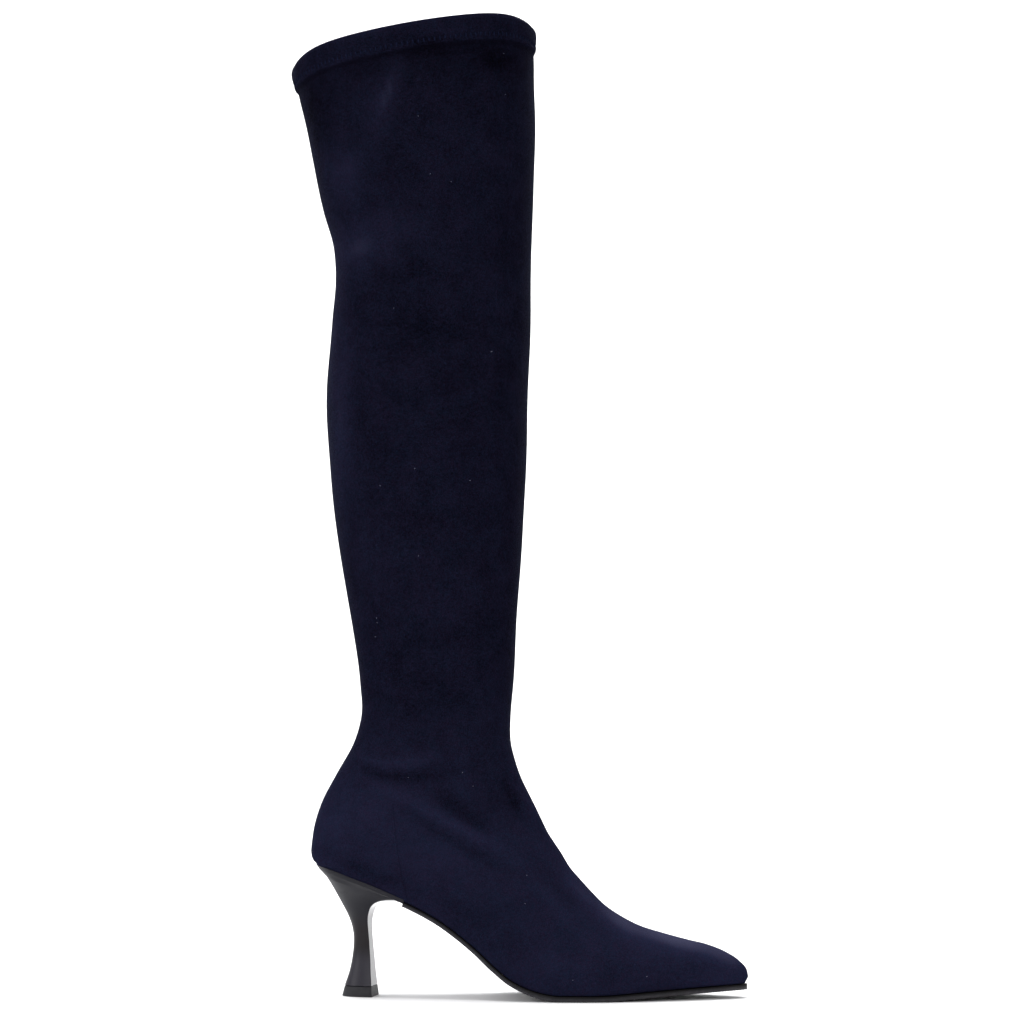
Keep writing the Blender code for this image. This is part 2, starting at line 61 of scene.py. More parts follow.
TOE_SPRING = 0.0047
TOE_ROUND = 0.010
SEAT_ROUND = 0.026
WALL = 0.0018
LASTING_MARGIN = 0.007
RIM_ARCH = 0.0058
RIM_ARCH_FADE = 0.070
RIM_ARCH_FULLNESS = 8
SOLE_THICKNESS = 0.0034
SOLE_PROUD = 0.0012
CLEARANCE = 0.0003
RIDGE_POWER = 1.5
WIDEST_EDGE = 0.97
BREAST_PLACE = 0.218 * FOOT_LENGTH
HEEL_TURN = math.radians(7)
HEEL_LIP = 0.0010
HEEL_KEEL = 0.0028
HEEL_LIP_THINNING = 0.3
TOP_LIFT_HEIGHT = 0.0060
TOP_LIFT_LENGTH = 0.0772 * FOOT_LENGTH
TOP_LIFT_WIDTH = 0.0206
TOP_LIFT_REAR = 0.0688 * FOOT_LENGTH
TOP_LIFT_FLARE = 0.0015
TOP_LIFT_ROUNDNESS = 2.8

# Leg sections. Columns: back point's x in foot lengths and height above the ankle in leg
# heights, front point's x and height in the same, half width in calf widths.
LEG_SECTIONS = (
    (-0.049, 0.998, 0.511, 1.062, 0.581),
    (-0.026, 0.936, 0.511, 0.992, 0.567),
    (-0.001, 0.856, 0.513, 0.898, 0.543),
    (0.023, 0.781, 0.510, 0.807, 0.514),
    (0.048, 0.722, 0.506, 0.730, 0.490),
    (0.053, 0.674, 0.504, 0.674, 0.486),
    (0.043, 0.610, 0.502, 0.607, 0.489),
    (0.032, 0.505, 0.498, 0.497, 0.500),
    (0.040, 0.382, 0.491, 0.369, 0.476),
    (0.060, 0.259, 0.481, 0.241, 0.433),
    (0.094, 0.135, 0.469, 0.126, 0.371),
    (0.109, 0.053, 0.463, 0.056, 0.338),
    (0.112, 0.000, 0.457, 0.000, 0.324),
)

# Heel sections. Columns: back point's x in foot lengths and height above the seat in ankle
# heights, front point's x and height in the same, half width in ball widths, widest share,
# sharpness of the back.
HEEL_SECTIONS = (
    (0.095, 0.825, 0.457, 0.848, 0.426, 0.475, 1.00),
    (0.055, 0.614, 0.467, 0.713, 0.413, 0.45, 0.94),
    (0.020, 0.415, 0.482, 0.585, 0.401, 0.41, 0.88),
    (0.001, 0.205, 0.499, 0.480, 0.392, 0.385, 0.82),
    (0.0015, 0.045, 0.513, 0.399, 0.388, 0.372, 0.76),
)

# Foot sections. Columns: x of the under point in foot lengths, step forward to the top point
# in foot lengths, step up to it in ankle heights, outer and inner half width in ball widths,
# widest share, sharpness, shift of the ridge to the inner side in ball widths.
FOOT_SECTIONS = (
    (0.0176, 0.503, 0.354, 0.387, 0.387, 0.368, 0.62, 0.004),
    (0.060, 0.470, 0.336, 0.387, 0.385, 0.335, 0.72, 0.008),
    (0.120, 0.421, 0.332, 0.387, 0.385, 0.32, 0.85, 0.013),
    (0.202, 0.354, 0.362, 0.385, 0.376, 0.30, 0.95, 0.020),
    (0.280, 0.293, 0.400, 0.385, 0.365, 0.28, 1.00, 0.026),
    (0.352, 0.241, 0.447, 0.397, 0.367, 0.27, 1.00, 0.033),
    (0.416, 0.199, 0.535, 0.423, 0.387, 0.27, 1.00, 0.039),
    (0.472, 0.170, 0.573, 0.454, 0.423, 0.27, 1.00, 0.043),
    (0.528, 0.144, 0.549, 0.479, 0.464, 0.28, 1.00, 0.045),
    (0.592, 0.118, 0.494, 0.492, 0.505, 0.30, 1.00, 0.044),
    (0.664, 0.088, 0.431, 0.474, 0.513, 0.31, 1.00, 0.042),
    (0.744, 0.058, 0.372, 0.414, 0.462, 0.33, 1.00, 0.038),
    (0.824, 0.035, 0.312, 0.328, 0.372, 0.35, 1.00, 0.032),
    (0.896, 0.018, 0.260, 0.233, 0.267, 0.38, 1.00, 0.026),
    (0.944, 0.010, 0.204, 0.162, 0.182, 0.42, 1.00, 0.020),
    (0.972, 0.008, 0.150, 0.123, 0.136, 0.45, 1.00, 0.014),
    (0.988, 0.010, 0.087, 0.097, 0.108, 0.45, 1.00, 0.010),
    (0.9932, 0.008, 0.042, 0.090, 0.097, 0.45, 1.00, 0.008),
)

# Underside of the last. Columns: x in foot lengths, share of the heel's rise, share of the
# toe spring, outer and inner half width of the feather edge in ball widths, share of the
# sole's thickness.
LAST_BOTTOM = (
    (0.0176, 1.000, 0.00, 0.333, 0.333, 0.80),
    (0.060, 0.956, 0.00, 0.333, 0.333, 0.80),
    (0.101, 0.905, 0.00, 0.333, 0.333, 0.80),
    (0.148, 0.843, 0.00, 0.333, 0.330, 0.80),
    (0.202, 0.760, 0.00, 0.328, 0.320, 0.80),
    (0.246, 0.688, 0.00, 0.323, 0.306, 0.79),
    (0.297, 0.588, 0.00, 0.321, 0.290, 0.78),
    (0.339, 0.485, 0.00, 0.333, 0.282, 0.78),
    (0.385, 0.355, 0.00, 0.358, 0.288, 0.78),
    (0.426, 0.222, 0.00, 0.386, 0.313, 0.80),
    (0.467, 0.112, 0.00, 0.412, 0.352, 0.85),
    (0.508, 0.046, 0.00, 0.434, 0.392, 0.92),
    (0.540, 0.016, 0.00, 0.447, 0.426, 0.98),
    (0.576, 0.000, 0.00, 0.455, 0.455, 1.00),
    (0.610, 0.000, 0.00, 0.454, 0.470, 1.00),
    (0.652, 0.000, 0.00, 0.443, 0.480, 1.00),
    (0.688, 0.000, 0.05, 0.423, 0.474, 1.00),
    (0.744, 0.000, 0.25, 0.370, 0.427, 1.00),
    (0.800, 0.000, 0.46, 0.308, 0.364, 1.00),
    (0.888, 0.000, 0.75, 0.205, 0.240, 1.00),
    (0.944, 0.000, 0.90, 0.128, 0.149, 1.00),
    (0.972, 0.000, 0.97, 0.095, 0.110, 1.00),
    (0.994, 0.000, 1.00, 0.075, 0.085, 1.00),
)

# Heel block below its lip. Columns: rear x in foot lengths, rear height in heel heights,
# front x and front height in the same, half width across the front in ball widths,
# roundness of the plan, drop of the middle of the front in heel heights.
HEEL_RINGS = (
    (0.0330, 0.925, 0.2060, 0.757, 0.305, 8.0, 0.036),
    (0.0430, 0.872, 0.1880, 0.755, 0.270, 6.5, 0.028),
    (0.0520, 0.818, 0.1700, 0.747, 0.230, 5.2, 0.020),
    (0.0610, 0.762, 0.1550, 0.728, 0.190, 4.2, 0.008),
    (0.0710, 0.700, 0.1430, 0.692, 0.148, 3.5, 0.000),
    (0.0802, 0.640, 0.1365, 0.641, 0.114, 3.1, 0.000),
    (0.0885, 0.572, 0.1335, 0.580, 0.090, 2.9, 0.000),
    (0.0940, 0.495, 0.1342, 0.500, 0.076, 2.8, 0.000),
    (0.0952, 0.410, 0.1366, 0.400, 0.073, 2.8, 0.000),
    (0.0925, 0.310, 0.1392, 0.295, 0.079, 2.8, 0.000),
    (0.0862, 0.200, 0.1412, 0.190, 0.094, 2.8, 0.000),
)

# Fineness of the skins
MARGIN_COLUMNS = 3
LOWER_COLUMNS = 25
UPPER_COLUMNS = 50
HEM_RINGS = 22
RING_STEP = 0.0026
RIM_ROLL_RINGS = 3
SOLE_STATIONS = 330
SOLE_ACROSS = 9
HEEL_BLOCK_RINGS = 64
HEEL_SIDE_POINTS = 30
HEEL_FRONT_POINTS = 6
HEEL_CORNER = 0.02
BREAST_SHARES = np.append(np.linspace(0.08, 0.88, HEEL_FRONT_POINTS), 0.97)
SIDE_SHARES = np.sin(math.pi / 2 * np.linspace(0.0, 1.0, HEEL_SIDE_POINTS + 1))
LIP_BLEND = (0.12, 0.35, 0.65)
SEAT_RINGS = 12
SEAT_REACH = 0.12
TOE_RINGS = 16
SOLE_ARCH_STATIONS = 60
SOLE_TOE_STATIONS = 30
SOLE_TOE_REACH = 0.008
SOCK_STATIONS = 160
SOCK_ACROSS = 13
SOCK_THICKNESS = 0.0025
SOCK_INSET = 0.0032
SOCK_TIP = 0.0008

# The heel's thin rim, cupped round the lower edge of the suede
RIM_RISE = 0.0014
RIM_THICKNESS = 0.00035
RIM_GAP = 0.0002
RIM_SEARCH = 0.012
RIM_EASE = 0.0008
RIM_FACING = 0.4
RIM_LEAN = 1.25
RIM_SMOOTHINGS = 6

# The rim's section, over its top and down. Columns: height in rises, distance out in
# thicknesses.
RIM_PROFILE = ((0.5, 0.0), (0.97, 0.0), (1.0, 0.5), (0.95, 1.0), (0.5, 1.5))

# The sole's edge from its top down. Columns: depth in thicknesses, inset in SOLE_PROUD.
SOLE_EDGE = ((0.0, 0.45), (0.06, 0.12), (0.2, 0.0), (0.7, 0.03), (0.88, 0.25), (0.97, 0.6))
SOLE_UNDER_INSET = 0.9

# The sock lining's edge from its top down. Columns: height in thicknesses, inset in metres.
SOCK_EDGE = ((1.0, 0.0006), (0.85, 0.0001), (0.5, 0.0), (0.15, 0.0001), (0.0, 0.0005))

# The top lift's rings. Columns: height in lift heights, how far its edges are broken in metres.
TOP_LIFT_RINGS = ((1.0, 0.0004), (0.95, 0.0), (0.5, 0.0), (0.08, 0.0), (0.0, 0.0003))

# The folded hem seen across its wall. Columns: distance below the rim, stand out of the wall.
HEM_DEPTH = 0.0130
HEM_PROFILE = (
    (0.0000, -0.0002),
    (0.0005, 0.0005),
    (0.0014, 0.0011),
    (0.0040, 0.0014),
    (0.0072, 0.0013),
    (0.0088, 0.0009),
    (0.0095, 0.0006),
    (0.0102, 0.0009),
    (0.0114, 0.0012),
    (0.0123, 0.0008),
    (0.0131, 0.0003),
    (0.0140, -0.0002),
    (0.0165, -0.0001),
    (0.0200, 0.0000),
)
HEM_TURN_IN = 0.0005
RIM_ROLL = 0.0009
STITCH_DEPTH = 0.0095
STITCH_PITCH = 0.0031
STITCH_LENGTH = 0.0027
STITCH_WIDTH = 0.0010
STITCH_HEIGHT = 0.0005
STITCH_LIFT = 0.0002
LINT_THICKNESS = 0.00028
LINT_LIFT = 0.0001

# Creases, from start through middle to end. Columns: x and height in foot lengths of each of
# the three points, lift out of the wall (below zero is a trough) and half width, in metres.
CREASES = (
    (0.110, 0.556, 0.207, 0.534, 0.330, 0.572, 0.00130, 0.0034),
    (0.105, 0.538, 0.200, 0.508, 0.330, 0.515, -0.00140, 0.0036),
    (0.160, 0.480, 0.340, 0.398, 0.480, 0.315, 0.00150, 0.0042),
    (0.285, 0.478, 0.348, 0.432, 0.410, 0.380, -0.00150, 0.0052),
    (0.210, 0.448, 0.335, 0.362, 0.458, 0.296, -0.00110, 0.0036),
    (0.444, 0.510, 0.470, 0.448, 0.500, 0.392, -0.00130, 0.0032),
    (0.470, 0.500, 0.490, 0.455, 0.520, 0.405, 0.00060, 0.0030),
    (0.140, 0.470, 0.210, 0.472, 0.300, 0.440, 0.00060, 0.0050),
    (0.060, 1.700, 0.190, 1.660, 0.330, 1.690, -0.00050, 0.0110),
    (0.070, 1.790, 0.180, 1.760, 0.300, 1.800, 0.00050, 0.0120),
    (0.510, 0.330, 0.560, 0.262, 0.610, 0.200, -0.00060, 0.0060),
)
INNER_SIDE_CREASES = 0.75

# How much a metre of crease paints a highlight onto the nap (painted shade where it is a trough),
# and how much painted shade darkens the flanks that turn away
CREASE_PAINTED_LIGHT = 520.0
FLANK_SHADE = 0.28

# Slow swells of the shaft. Columns: waves along z, x and y in radians a metre, phase, share.
SWELLS = (
    (61.0, 18.0, 0.0, 0.6, 1.0),
    (97.0, -31.0, 25.0, 0.0, 0.7),
)
SWELL_LIFT = 0.00022

# Places where the nap is lighter (above zero) or darker, partly worn nap and partly painted light:
# painted highlights where light falls, as along the top of the toe, and painted shade. Columns: x
# and height in foot lengths, reach along and up in foot lengths, lean from upright in degrees,
# strength.
NAP_AND_LIGHT_PATCHES = (
    (0.190, 2.050, 0.024, 0.090, -20, 0.90),
    (0.085, 1.900, 0.045, 0.055, 0, 0.55),
    (0.100, 1.860, 0.040, 0.060, -25, 0.30),
    (0.020, 2.010, 0.040, 0.060, 0, -0.45),
    (0.270, 2.155, 0.070, 0.028, 0, -0.60),
    (0.310, 2.196, 0.045, 0.020, 0, 0.45),
    (0.431, 2.132, 0.045, 0.030, 0, -0.55),
    (0.120, 1.700, 0.060, 0.050, 0, 0.90),
    (0.050, 1.640, 0.030, 0.120, 0, 0.60),
    (0.074, 1.326, 0.032, 0.220, 0, 0.80),
    (0.131, 0.911, 0.025, 0.160, 0, 0.25),
    (0.300, 1.520, 0.150, 0.040, 0, -0.30),
    (0.280, 1.720, 0.110, 0.060, 0, 0.30),
    (0.470, 1.120, 0.030, 0.090, 0, -0.10),
    (0.430, 1.320, 0.050, 0.110, 0, -0.10),
    (0.460, 1.700, 0.030, 0.060, 0, -0.10),
    (0.260, 1.000, 0.070, 0.050, 0, 0.15),
    (0.300, 0.660, 0.080, 0.040, 0, -0.15),
    (0.075, 0.400, 0.055, 0.070, 0, 0.35),
    (0.330, 0.215, 0.090, 0.035, -30, -0.50),
    (0.270, 0.330, 0.070, 0.045, 0, 0.40),
    (0.150, 0.425, 0.050, 0.050, -20, 0.45),
    (0.100, 0.305, 0.070, 0.022, -20, -0.60),
    (0.190, 0.270, 0.050, 0.018, -25, -0.35),
    (0.420, 0.470, 0.070, 0.060, 45, -0.30),
    (0.690, 0.194, 0.065, 0.020, -37, 0.80),
    (0.610, 0.252, 0.060, 0.016, -47, 0.75),
    (0.620, 0.110, 0.070, 0.030, -20, -0.25),
    (0.560, 0.225, 0.060, 0.016, -45, 0.40),
    (0.835, 0.138, 0.125, 0.025, -16, 1.45),
    (0.955, 0.092, 0.045, 0.020, -28, 0.55),
    (0.960, 0.050, 0.045, 0.030, 0, 0.55),
    (0.570, 0.090, 0.080, 0.040, 0, 0.30),
    (0.480, 0.130, 0.050, 0.040, -30, -0.25),
    (0.420, 0.220, 0.070, 0.040, 35, -0.30),
    (0.700, 0.060, 0.050, 0.020, 0, -0.20),
)

# The seam up each side from the feather edge. Columns: x and height in foot lengths.
SIDE_SEAM = (
    (0.2270, 0.232),
    (0.2200, 0.262),
    (0.2145, 0.286),
    (0.2098, 0.316),
    (0.2045, 0.355),
    (0.2000, 0.400),
    (0.1965, 0.440),
)
SEAM_REACH = 0.010
SEAM_DIP = -0.00035
SEAM_HALF_WIDTH = 0.0011

# How far forward a point still counts as the back of the boot. Columns: height, x.
BACK_LIMIT = ((0.0, 0.06), (0.1, 0.05), (0.6, 0.05))

# Lint on the outer side. Columns: x and height in foot lengths, length in millimetres.
LINT = (
    (0.198, 1.567, 0.9),
    (0.420, 1.468, 1.7),
    (0.373, 1.176, 0.9),
    (0.167, 1.166, 0.8),
    (0.247, 1.200, 0.7),
    (0.263, 1.005, 0.8),
    (0.154, 0.870, 0.8),
    (0.161, 0.856, 0.7),
    (0.159, 0.821, 1.0),
    (0.226, 0.508, 0.9),
    (0.353, 0.512, 0.9),
    (0.376, 0.485, 0.6),
    (0.495, 0.283, 0.9),
    (0.495, 0.217, 0.7),
    (0.286, 1.865, 0.7),
    (0.332, 1.855, 0.6),
    (0.447, 2.148, 0.8),
    (0.454, 2.060, 0.8),
    (0.258, 1.995, 0.7),
    (0.606, 0.050, 0.8),
    (0.774, 0.056, 0.9),
)

# Tread under the forepart
TREAD_START = 0.108
TREAD_PITCH = 0.0017
TREAD_DEPTH = 0.0004
TREAD_FADE = 0.004
TREAD_AT_EDGE = 0.55

# Camera and light
CAMERA_TURN = math.radians(3)
CAMERA_DISTANCE = 2.1
CAMERA_HEIGHT = 0.2
CAMERA_AIM = Vector((-0.040, 0.0, 0.278))
LENS = 128.18
SENSOR = 36.0
SKY_STRENGTH = 0.72
# Columns: name, place, aim, width and length, power
LIGHTS = (
    ("top_box", (-0.3, 0.1, 2.2), (0.0, 0.0, 0.2), (1.6, 1.6), 58),
    ("heel_side_box", (-1.8, -0.9, 0.9), (0.0, 0.0, 0.25), (1.0, 1.4), 8),
    ("front_box", (-0.5, -2.8, 1.1), (0.0, 0.0, 0.2), (1.6, 1.2), 12),
    ("backdrop_box", (0.0, 1.0, 2.6), (0.0, 3.4, 0.8), (3.0, 0.6), 90),
)

# Colours of the suede's nap, at its darkest and lightest in each of its two hues
BLUE_DARK = (0.0003, 0.0003, 0.0006, 1)
BLUE_LIGHT = (0.0108, 0.0150, 0.0362, 1)
VIOLET_DARK = (0.0007, 0.0003, 0.0006, 1)
VIOLET_LIGHT = (0.0152, 0.0125, 0.0322, 1)
# Pale painted highlight, blended in where the nap's painted light is strongest, as along the top of the
# toe
PALE_PAINTED_HIGHLIGHT = (0.0320, 0.0325, 0.0610, 1)
SEAM_SHADOW = (0.0015, 0.0015, 0.0035, 1)
HEM_SHADOW = (0.0015, 0.0013, 0.0030, 1)
# Wide soft painted shadow below the hem
HEM_SOFT_SHADOW = (0.0012, 0.0008, 0.0016, 1)
SUEDE_SHEEN = (0.42, 0.44, 0.62, 1)

# Colours of the other pieces
LINING_DARK = (0.006, 0.006, 0.009, 1)
LINING_LIGHT = (0.014, 0.014, 0.019, 1)
THREAD_DARK = (0.0036, 0.0048, 0.0125, 1)
THREAD_LIGHT = (0.0075, 0.0095, 0.0245, 1)
LINT_DARK = (0.04, 0.04, 0.07, 1)
LINT_LIGHT = (0.13, 0.13, 0.19, 1)
SOLE_DARK = (0.028, 0.027, 0.031, 1)
SOLE_DUSTY = (0.066, 0.065, 0.072, 1)
# Painted shade at the top of the sole's edge, under the upper
SOLE_EDGE_SHADE = (0.0012, 0.0010, 0.0014, 1)
LIFT_DARK = (0.012, 0.012, 0.015, 1)
LIFT_DUSTY = (0.036, 0.036, 0.042, 1)
HEEL_BLOCK = (0.0078, 0.0078, 0.0115, 1)
# Painted shade at the heel's waist and painted highlight on its flare
HEEL_WAIST_SHADE = (0.0058, 0.0036, 0.0050, 1)
HEEL_FLARE_HIGHLIGHT = (0.0240, 0.0225, 0.0300, 1)
HEEL_DUST = (0.03, 0.03, 0.034, 1)
FLOOR_DULL = (0.90, 0.90, 0.91, 1)
FLOOR_PALE = (0.92, 0.92, 0.93, 1)

# Heights on the heel, in metres, where the painted shade at its waist, the painted highlight on its
# flare and its sides' finish start and are full
WAIST_SPAN = (0.050, 0.036)
FLARE_SPAN = (0.031, 0.018)
BLOCK_SPAN = (0.036, 0.055)

# Depths below the rim, in metres, where the line along the seams, the painted shadow under the hem
# and the wider soft painted shadow below it start and are full
SEAM_FROM_HEM = (0.013, 0.015)
HEM_SHADOW_IN = (0.0122, 0.0132)
HEM_SHADOW_OUT = (0.0165, 0.0138)
HEM_SOFT_SHADOW_IN = (0.0120, 0.0150)
HEM_SOFT_SHADOW_OUT = (0.0400, 0.0170)

# Heights, in metres, over which painted light makes the suede lighter towards the foot
FOOT_LIGHT_SPAN = (0.20, 0.06)

SEAT_REAR = LAST_BOTTOM[0][0] * FOOT_LENGTH
TOE_TIP = LAST_BOTTOM[-1][0] * FOOT_LENGTH
LAST_FLOOR = SOLE_THICKNESS + CLEARANCE
HEEL_RISE = HEEL_HEIGHT - LAST_FLOOR
SHIFT = np.array([-BALL_PLACE, 0.0, 0.0])


def steady_slopes(places, values):
    """Slopes for a cubic through the values that never overshoots."""
    steps = np.diff(places)
    rises = np.diff(values) / steps
    slopes = np.zeros(len(values))
    slopes[0], slopes[-1] = rises[0], rises[-1]
    for i in range(1, len(values) - 1):
        before, after = rises[i - 1], rises[i]
        if before * after > 0:
            first = 2 * steps[i] + steps[i - 1]
            second = steps[i] + 2 * steps[i - 1]
            slopes[i] = (first + second) / (first / before + second / after)
    return slopes


def free_slopes(places, values):
    """Slopes for a cubic that turns smoothly through the values."""
    steps = np.diff(places)
    rises = np.diff(values) / steps
    slopes = np.zeros(len(values))
    slopes[0], slopes[-1] = rises[0], rises[-1]
    slopes[1:-1] = (rises[:-1] * steps[1:] + rises[1:] * steps[:-1]) / (steps[:-1] + steps[1:])
    return slopes


def cubic(places, values, at, slopes_of=steady_slopes):
    """The values read at other places from a cubic through them."""
    places = np.asarray(places, float)
    values = np.asarray(values, float)
    at = np.atleast_1d(np.asarray(at, float))
    slopes = slopes_of(places, values)
    index = np.clip(np.searchsorted(places, at, side="right") - 1, 0, len(places) - 2)
    span = places[index + 1] - places[index]
    t = np.clip((at - places[index]) / span, 0.0, 1.0)
    rise = values[index + 1] - values[index]
    start, end = slopes[index] * span, slopes[index + 1] * span
    return values[index] + t * (start + t * ((3 * rise - 2 * start - end) + t * (start + end - 2 * rise)))


def smooth(value, low, high):
    """0 below low, 1 above high, and a soft step between."""
    t = np.clip((np.asarray(value, float) - low) / (high - low), 0.0, 1.0)
    return t * t * (3 - 2 * t)


def end_round(distance, reach):
    """Rises from 0 to 1 as a quarter ellipse over the reach."""
    share = np.clip(np.asarray(distance, float) / reach, 0.0, 1.0)
    return np.sqrt(1.0 - (1.0 - share) ** 2)


def last_bottom(x):
    rows = np.array(LAST_BOTTOM)
    heights = LAST_FLOOR + rows[:, 1] * HEEL_RISE + rows[:, 2] * TOE_SPRING
    return cubic(rows[:, 0] * FOOT_LENGTH, heights, x)


def bottom_frame(x):
    """Points on the last's underside at x, and the unit normals up out of it, as (x, z)."""
    x = np.atleast_1d(np.asarray(x, float))
    nudge = FOOT_LENGTH * 1e-4
    slope = (last_bottom(x + nudge) - last_bottom(x - nudge)) / (2 * nudge)
    normals = np.stack([-slope, np.ones_like(slope)], axis=1)
    normals /= np.linalg.norm(normals, axis=1)[:, None]
    return np.stack([x, last_bottom(x)], axis=1), normals


def feather(x, outset=0.0):
    """Outer and inner half widths of the feather edge at x, moved outwards by the outset."""
    rows = np.array(LAST_BOTTOM)
    x = np.atleast_1d(np.asarray(x, float))
    ends = end_round(TOE_TIP + outset - x, TOE_ROUND + max(outset, 0.0))
    ends *= end_round(x - SEAT_REAR + outset, SEAT_ROUND + outset)
    widths = [cubic(rows[:, 0] * FOOT_LENGTH, rows[:, side] * BALL_WIDTH, x) for side in (3, 4)]
    return [np.maximum(width + outset, 0.0) * ends for width in widths]


def section_rows():
    """Every section of the upper: back x and z, front x and z, outer and inner half width,
    widest share, sharpness, ridge shift."""
    ankle = HEEL_HEIGHT + ANKLE_HEIGHT
    rows = []
    for back_x, back_up, front_x, front_up, half in LEG_SECTIONS:
        back = (back_x * FOOT_LENGTH, ankle + back_up * LEG_HEIGHT)
        front = (front_x * FOOT_LENGTH, ankle + front_up * LEG_HEIGHT)
        wide = half * CALF_WIDTH
        rows.append((*back, *front, wide, wide, 0.5, 1.0, 0.0))
    for back_x, back_up, front_x, front_up, half, widest, sharp in HEEL_SECTIONS:
        back = (back_x * FOOT_LENGTH, HEEL_HEIGHT + back_up * ANKLE_HEIGHT)
        front = (front_x * FOOT_LENGTH, HEEL_HEIGHT + front_up * ANKLE_HEIGHT)
        wide = half * BALL_WIDTH
        rows.append((*back, *front, wide, wide, widest, sharp, 0.0))
    for under_x, forward, up, outer, inner, widest, sharp, ridge in FOOT_SECTIONS:
        under = (under_x * FOOT_LENGTH, last_bottom(under_x * FOOT_LENGTH)[0])
        top = (under[0] + forward * FOOT_LENGTH, under[1] + up * ANKLE_HEIGHT)
        wide = (outer * BALL_WIDTH, inner * BALL_WIDTH)
        rows.append((*under, *top, *wide, widest, sharp, ridge * BALL_WIDTH))
    return np.array(rows)


def upper_stations():
    """Where the rings lie along the boot, close together in the hem, and the sections read there."""
    rows = section_rows()
    back = np.linalg.norm(np.diff(rows[:, 0:2], axis=0), axis=1)
    front = np.linalg.norm(np.diff(rows[:, 2:4], axis=0), axis=1)
    places = np.concatenate([[0.0], np.cumsum((back + front) / 2)])
    seat = places[len(LEG_SECTIONS) + len(HEEL_SECTIONS)]
    hem_end = HEM_PROFILE[-1][0]
    toe_start = places[-1] - TOE_ROUND
    hem = np.linspace(0.0, hem_end, HEM_RINGS, endpoint=False)
    shaft = np.arange(hem_end, seat, RING_STEP)
    rear = seat + (places[-1] - seat) * np.linspace(0.0, SEAT_REACH, SEAT_RINGS, endpoint=False) ** 1.5
    foot = np.arange(rear[-1] + RING_STEP, toe_start, RING_STEP)
    toe = np.linspace(foot[-1] + RING_STEP / 2, places[-1], TOE_RINGS)
    stations = np.concatenate([hem, shaft[:-1], rear, foot, toe])
    columns = [cubic(places, rows[:, k], stations, free_slopes) for k in range(rows.shape[1])]
    return stations, np.stack(columns, axis=1), seat


def upper_ring(row, on_foot, place):
    """One section of the last as points from the outer margin over the top to the inner one."""
    back_x, back_z, front_x, front_z, outer, inner, widest, sharp, ridge = row
    rounding = float(end_round(TOE_TIP - back_x, TOE_ROUND))
    edges = [float(edge[0]) for edge in feather(back_x)] if on_foot else (0.0, 0.0)
    opening = [float(gap[0]) for gap in feather(back_x, -LASTING_MARGIN)] if on_foot else (0.0, 0.0)
    arch = RIM_ARCH * max(0.0, 1.0 - place / RIM_ARCH_FADE)
    sides = []
    for sign, half, edge, gap in zip((-1, 1), (outer, inner), edges, opening):
        half = half * rounding if on_foot else half
        start = math.asin(min(edge / half, WIDEST_EDGE) ** (1.0 / sharp))
        below = widest / math.cos(start)
        under = np.linspace(start, math.pi / 2, LOWER_COLUMNS, endpoint=False)
        over = np.linspace(math.pi / 2, math.pi, UPPER_COLUMNS + 1)
        turn = np.concatenate([under, over])
        lower = turn < math.pi / 2
        along = widest - np.where(lower, below, 1.0 - widest) * np.cos(turn)
        share = np.maximum(np.sin(turn), 0.0)
        across = sign * half * share ** np.where(lower, sharp, 1.0)
        across += ridge * np.maximum(along, 0.0) ** RIDGE_POWER
        x = back_x + (front_x - back_x) * along
        lift = arch * (1.0 - np.abs(np.cos(turn)) ** RIM_ARCH_FULLNESS)
        z = back_z + (front_z - back_z) * along + lift
        wall = np.stack([x, across, z], axis=1)
        margin = np.zeros((MARGIN_COLUMNS, 3))
        margin[:, 0] = back_x
        margin[:, 1] = sign * np.linspace(gap, edge, MARGIN_COLUMNS, endpoint=False)
        margin[:, 2] = back_z
        sides.append(np.concatenate([margin, wall]))
    return np.concatenate([sides[0], sides[1][-2::-1]])


class Skin:
    """A surface whose points are shared where they fall together."""

    def __init__(self):
        self.points = []
        self.faces = []
        self.known = {}

    def point(self, place):
        key = (round(place[0], 6), round(place[1], 6), round(place[2], 6))
        if key not in self.known:
            self.known[key] = len(self.points)
            self.points.append(tuple(place))
        return self.known[key]

    def ring(self, places):
        return [self.point(place) for place in places.tolist()]

    def face(self, corners):
        kept = []
        for corner in corners:
            if corner not in kept:
                kept.append(corner)
        if len(kept) > 2:
            self.faces.append(tuple(kept))

    def strip(self, first, second, closed=False):
        if closed:
            first, second = first + first[:1], second + second[:1]
        for k in range(len(first) - 1):
            self.face((first[k], first[k + 1], second[k + 1], second[k]))

    def zip_up(self, ring):
        """Closes a narrow ring by joining each point to the one across from it."""
        for k in range(len(ring) // 2):
            self.face((ring[k], ring[k + 1], ring[-2 - k], ring[-1 - k]))


def point_normals(points, faces):
    """Unit normals at the points, weighted by the area of the faces round them."""
    total = np.zeros_like(points)
    for size in (3, 4):
        group = np.array([face for face in faces if len(face) == size])
        if len(group):
            corners = points[group]
            area = np.cross(corners[:, 2] - corners[:, 0], corners[:, -1] - corners[:, 1])
            for k in range(size):
                np.add.at(total, group[:, k], area)
    return total / np.maximum(np.linalg.norm(total, axis=1), 1e-12)[:, None]


def border_edges(faces):
    """The edges that only one face uses, in that face's direction."""
    used = set()
    for face in faces:
        for k, corner in enumerate(face):
            used.add((corner, face[(k + 1) % len(face)]))
    return [edge for edge in used if (edge[1], edge[0]) not in used]


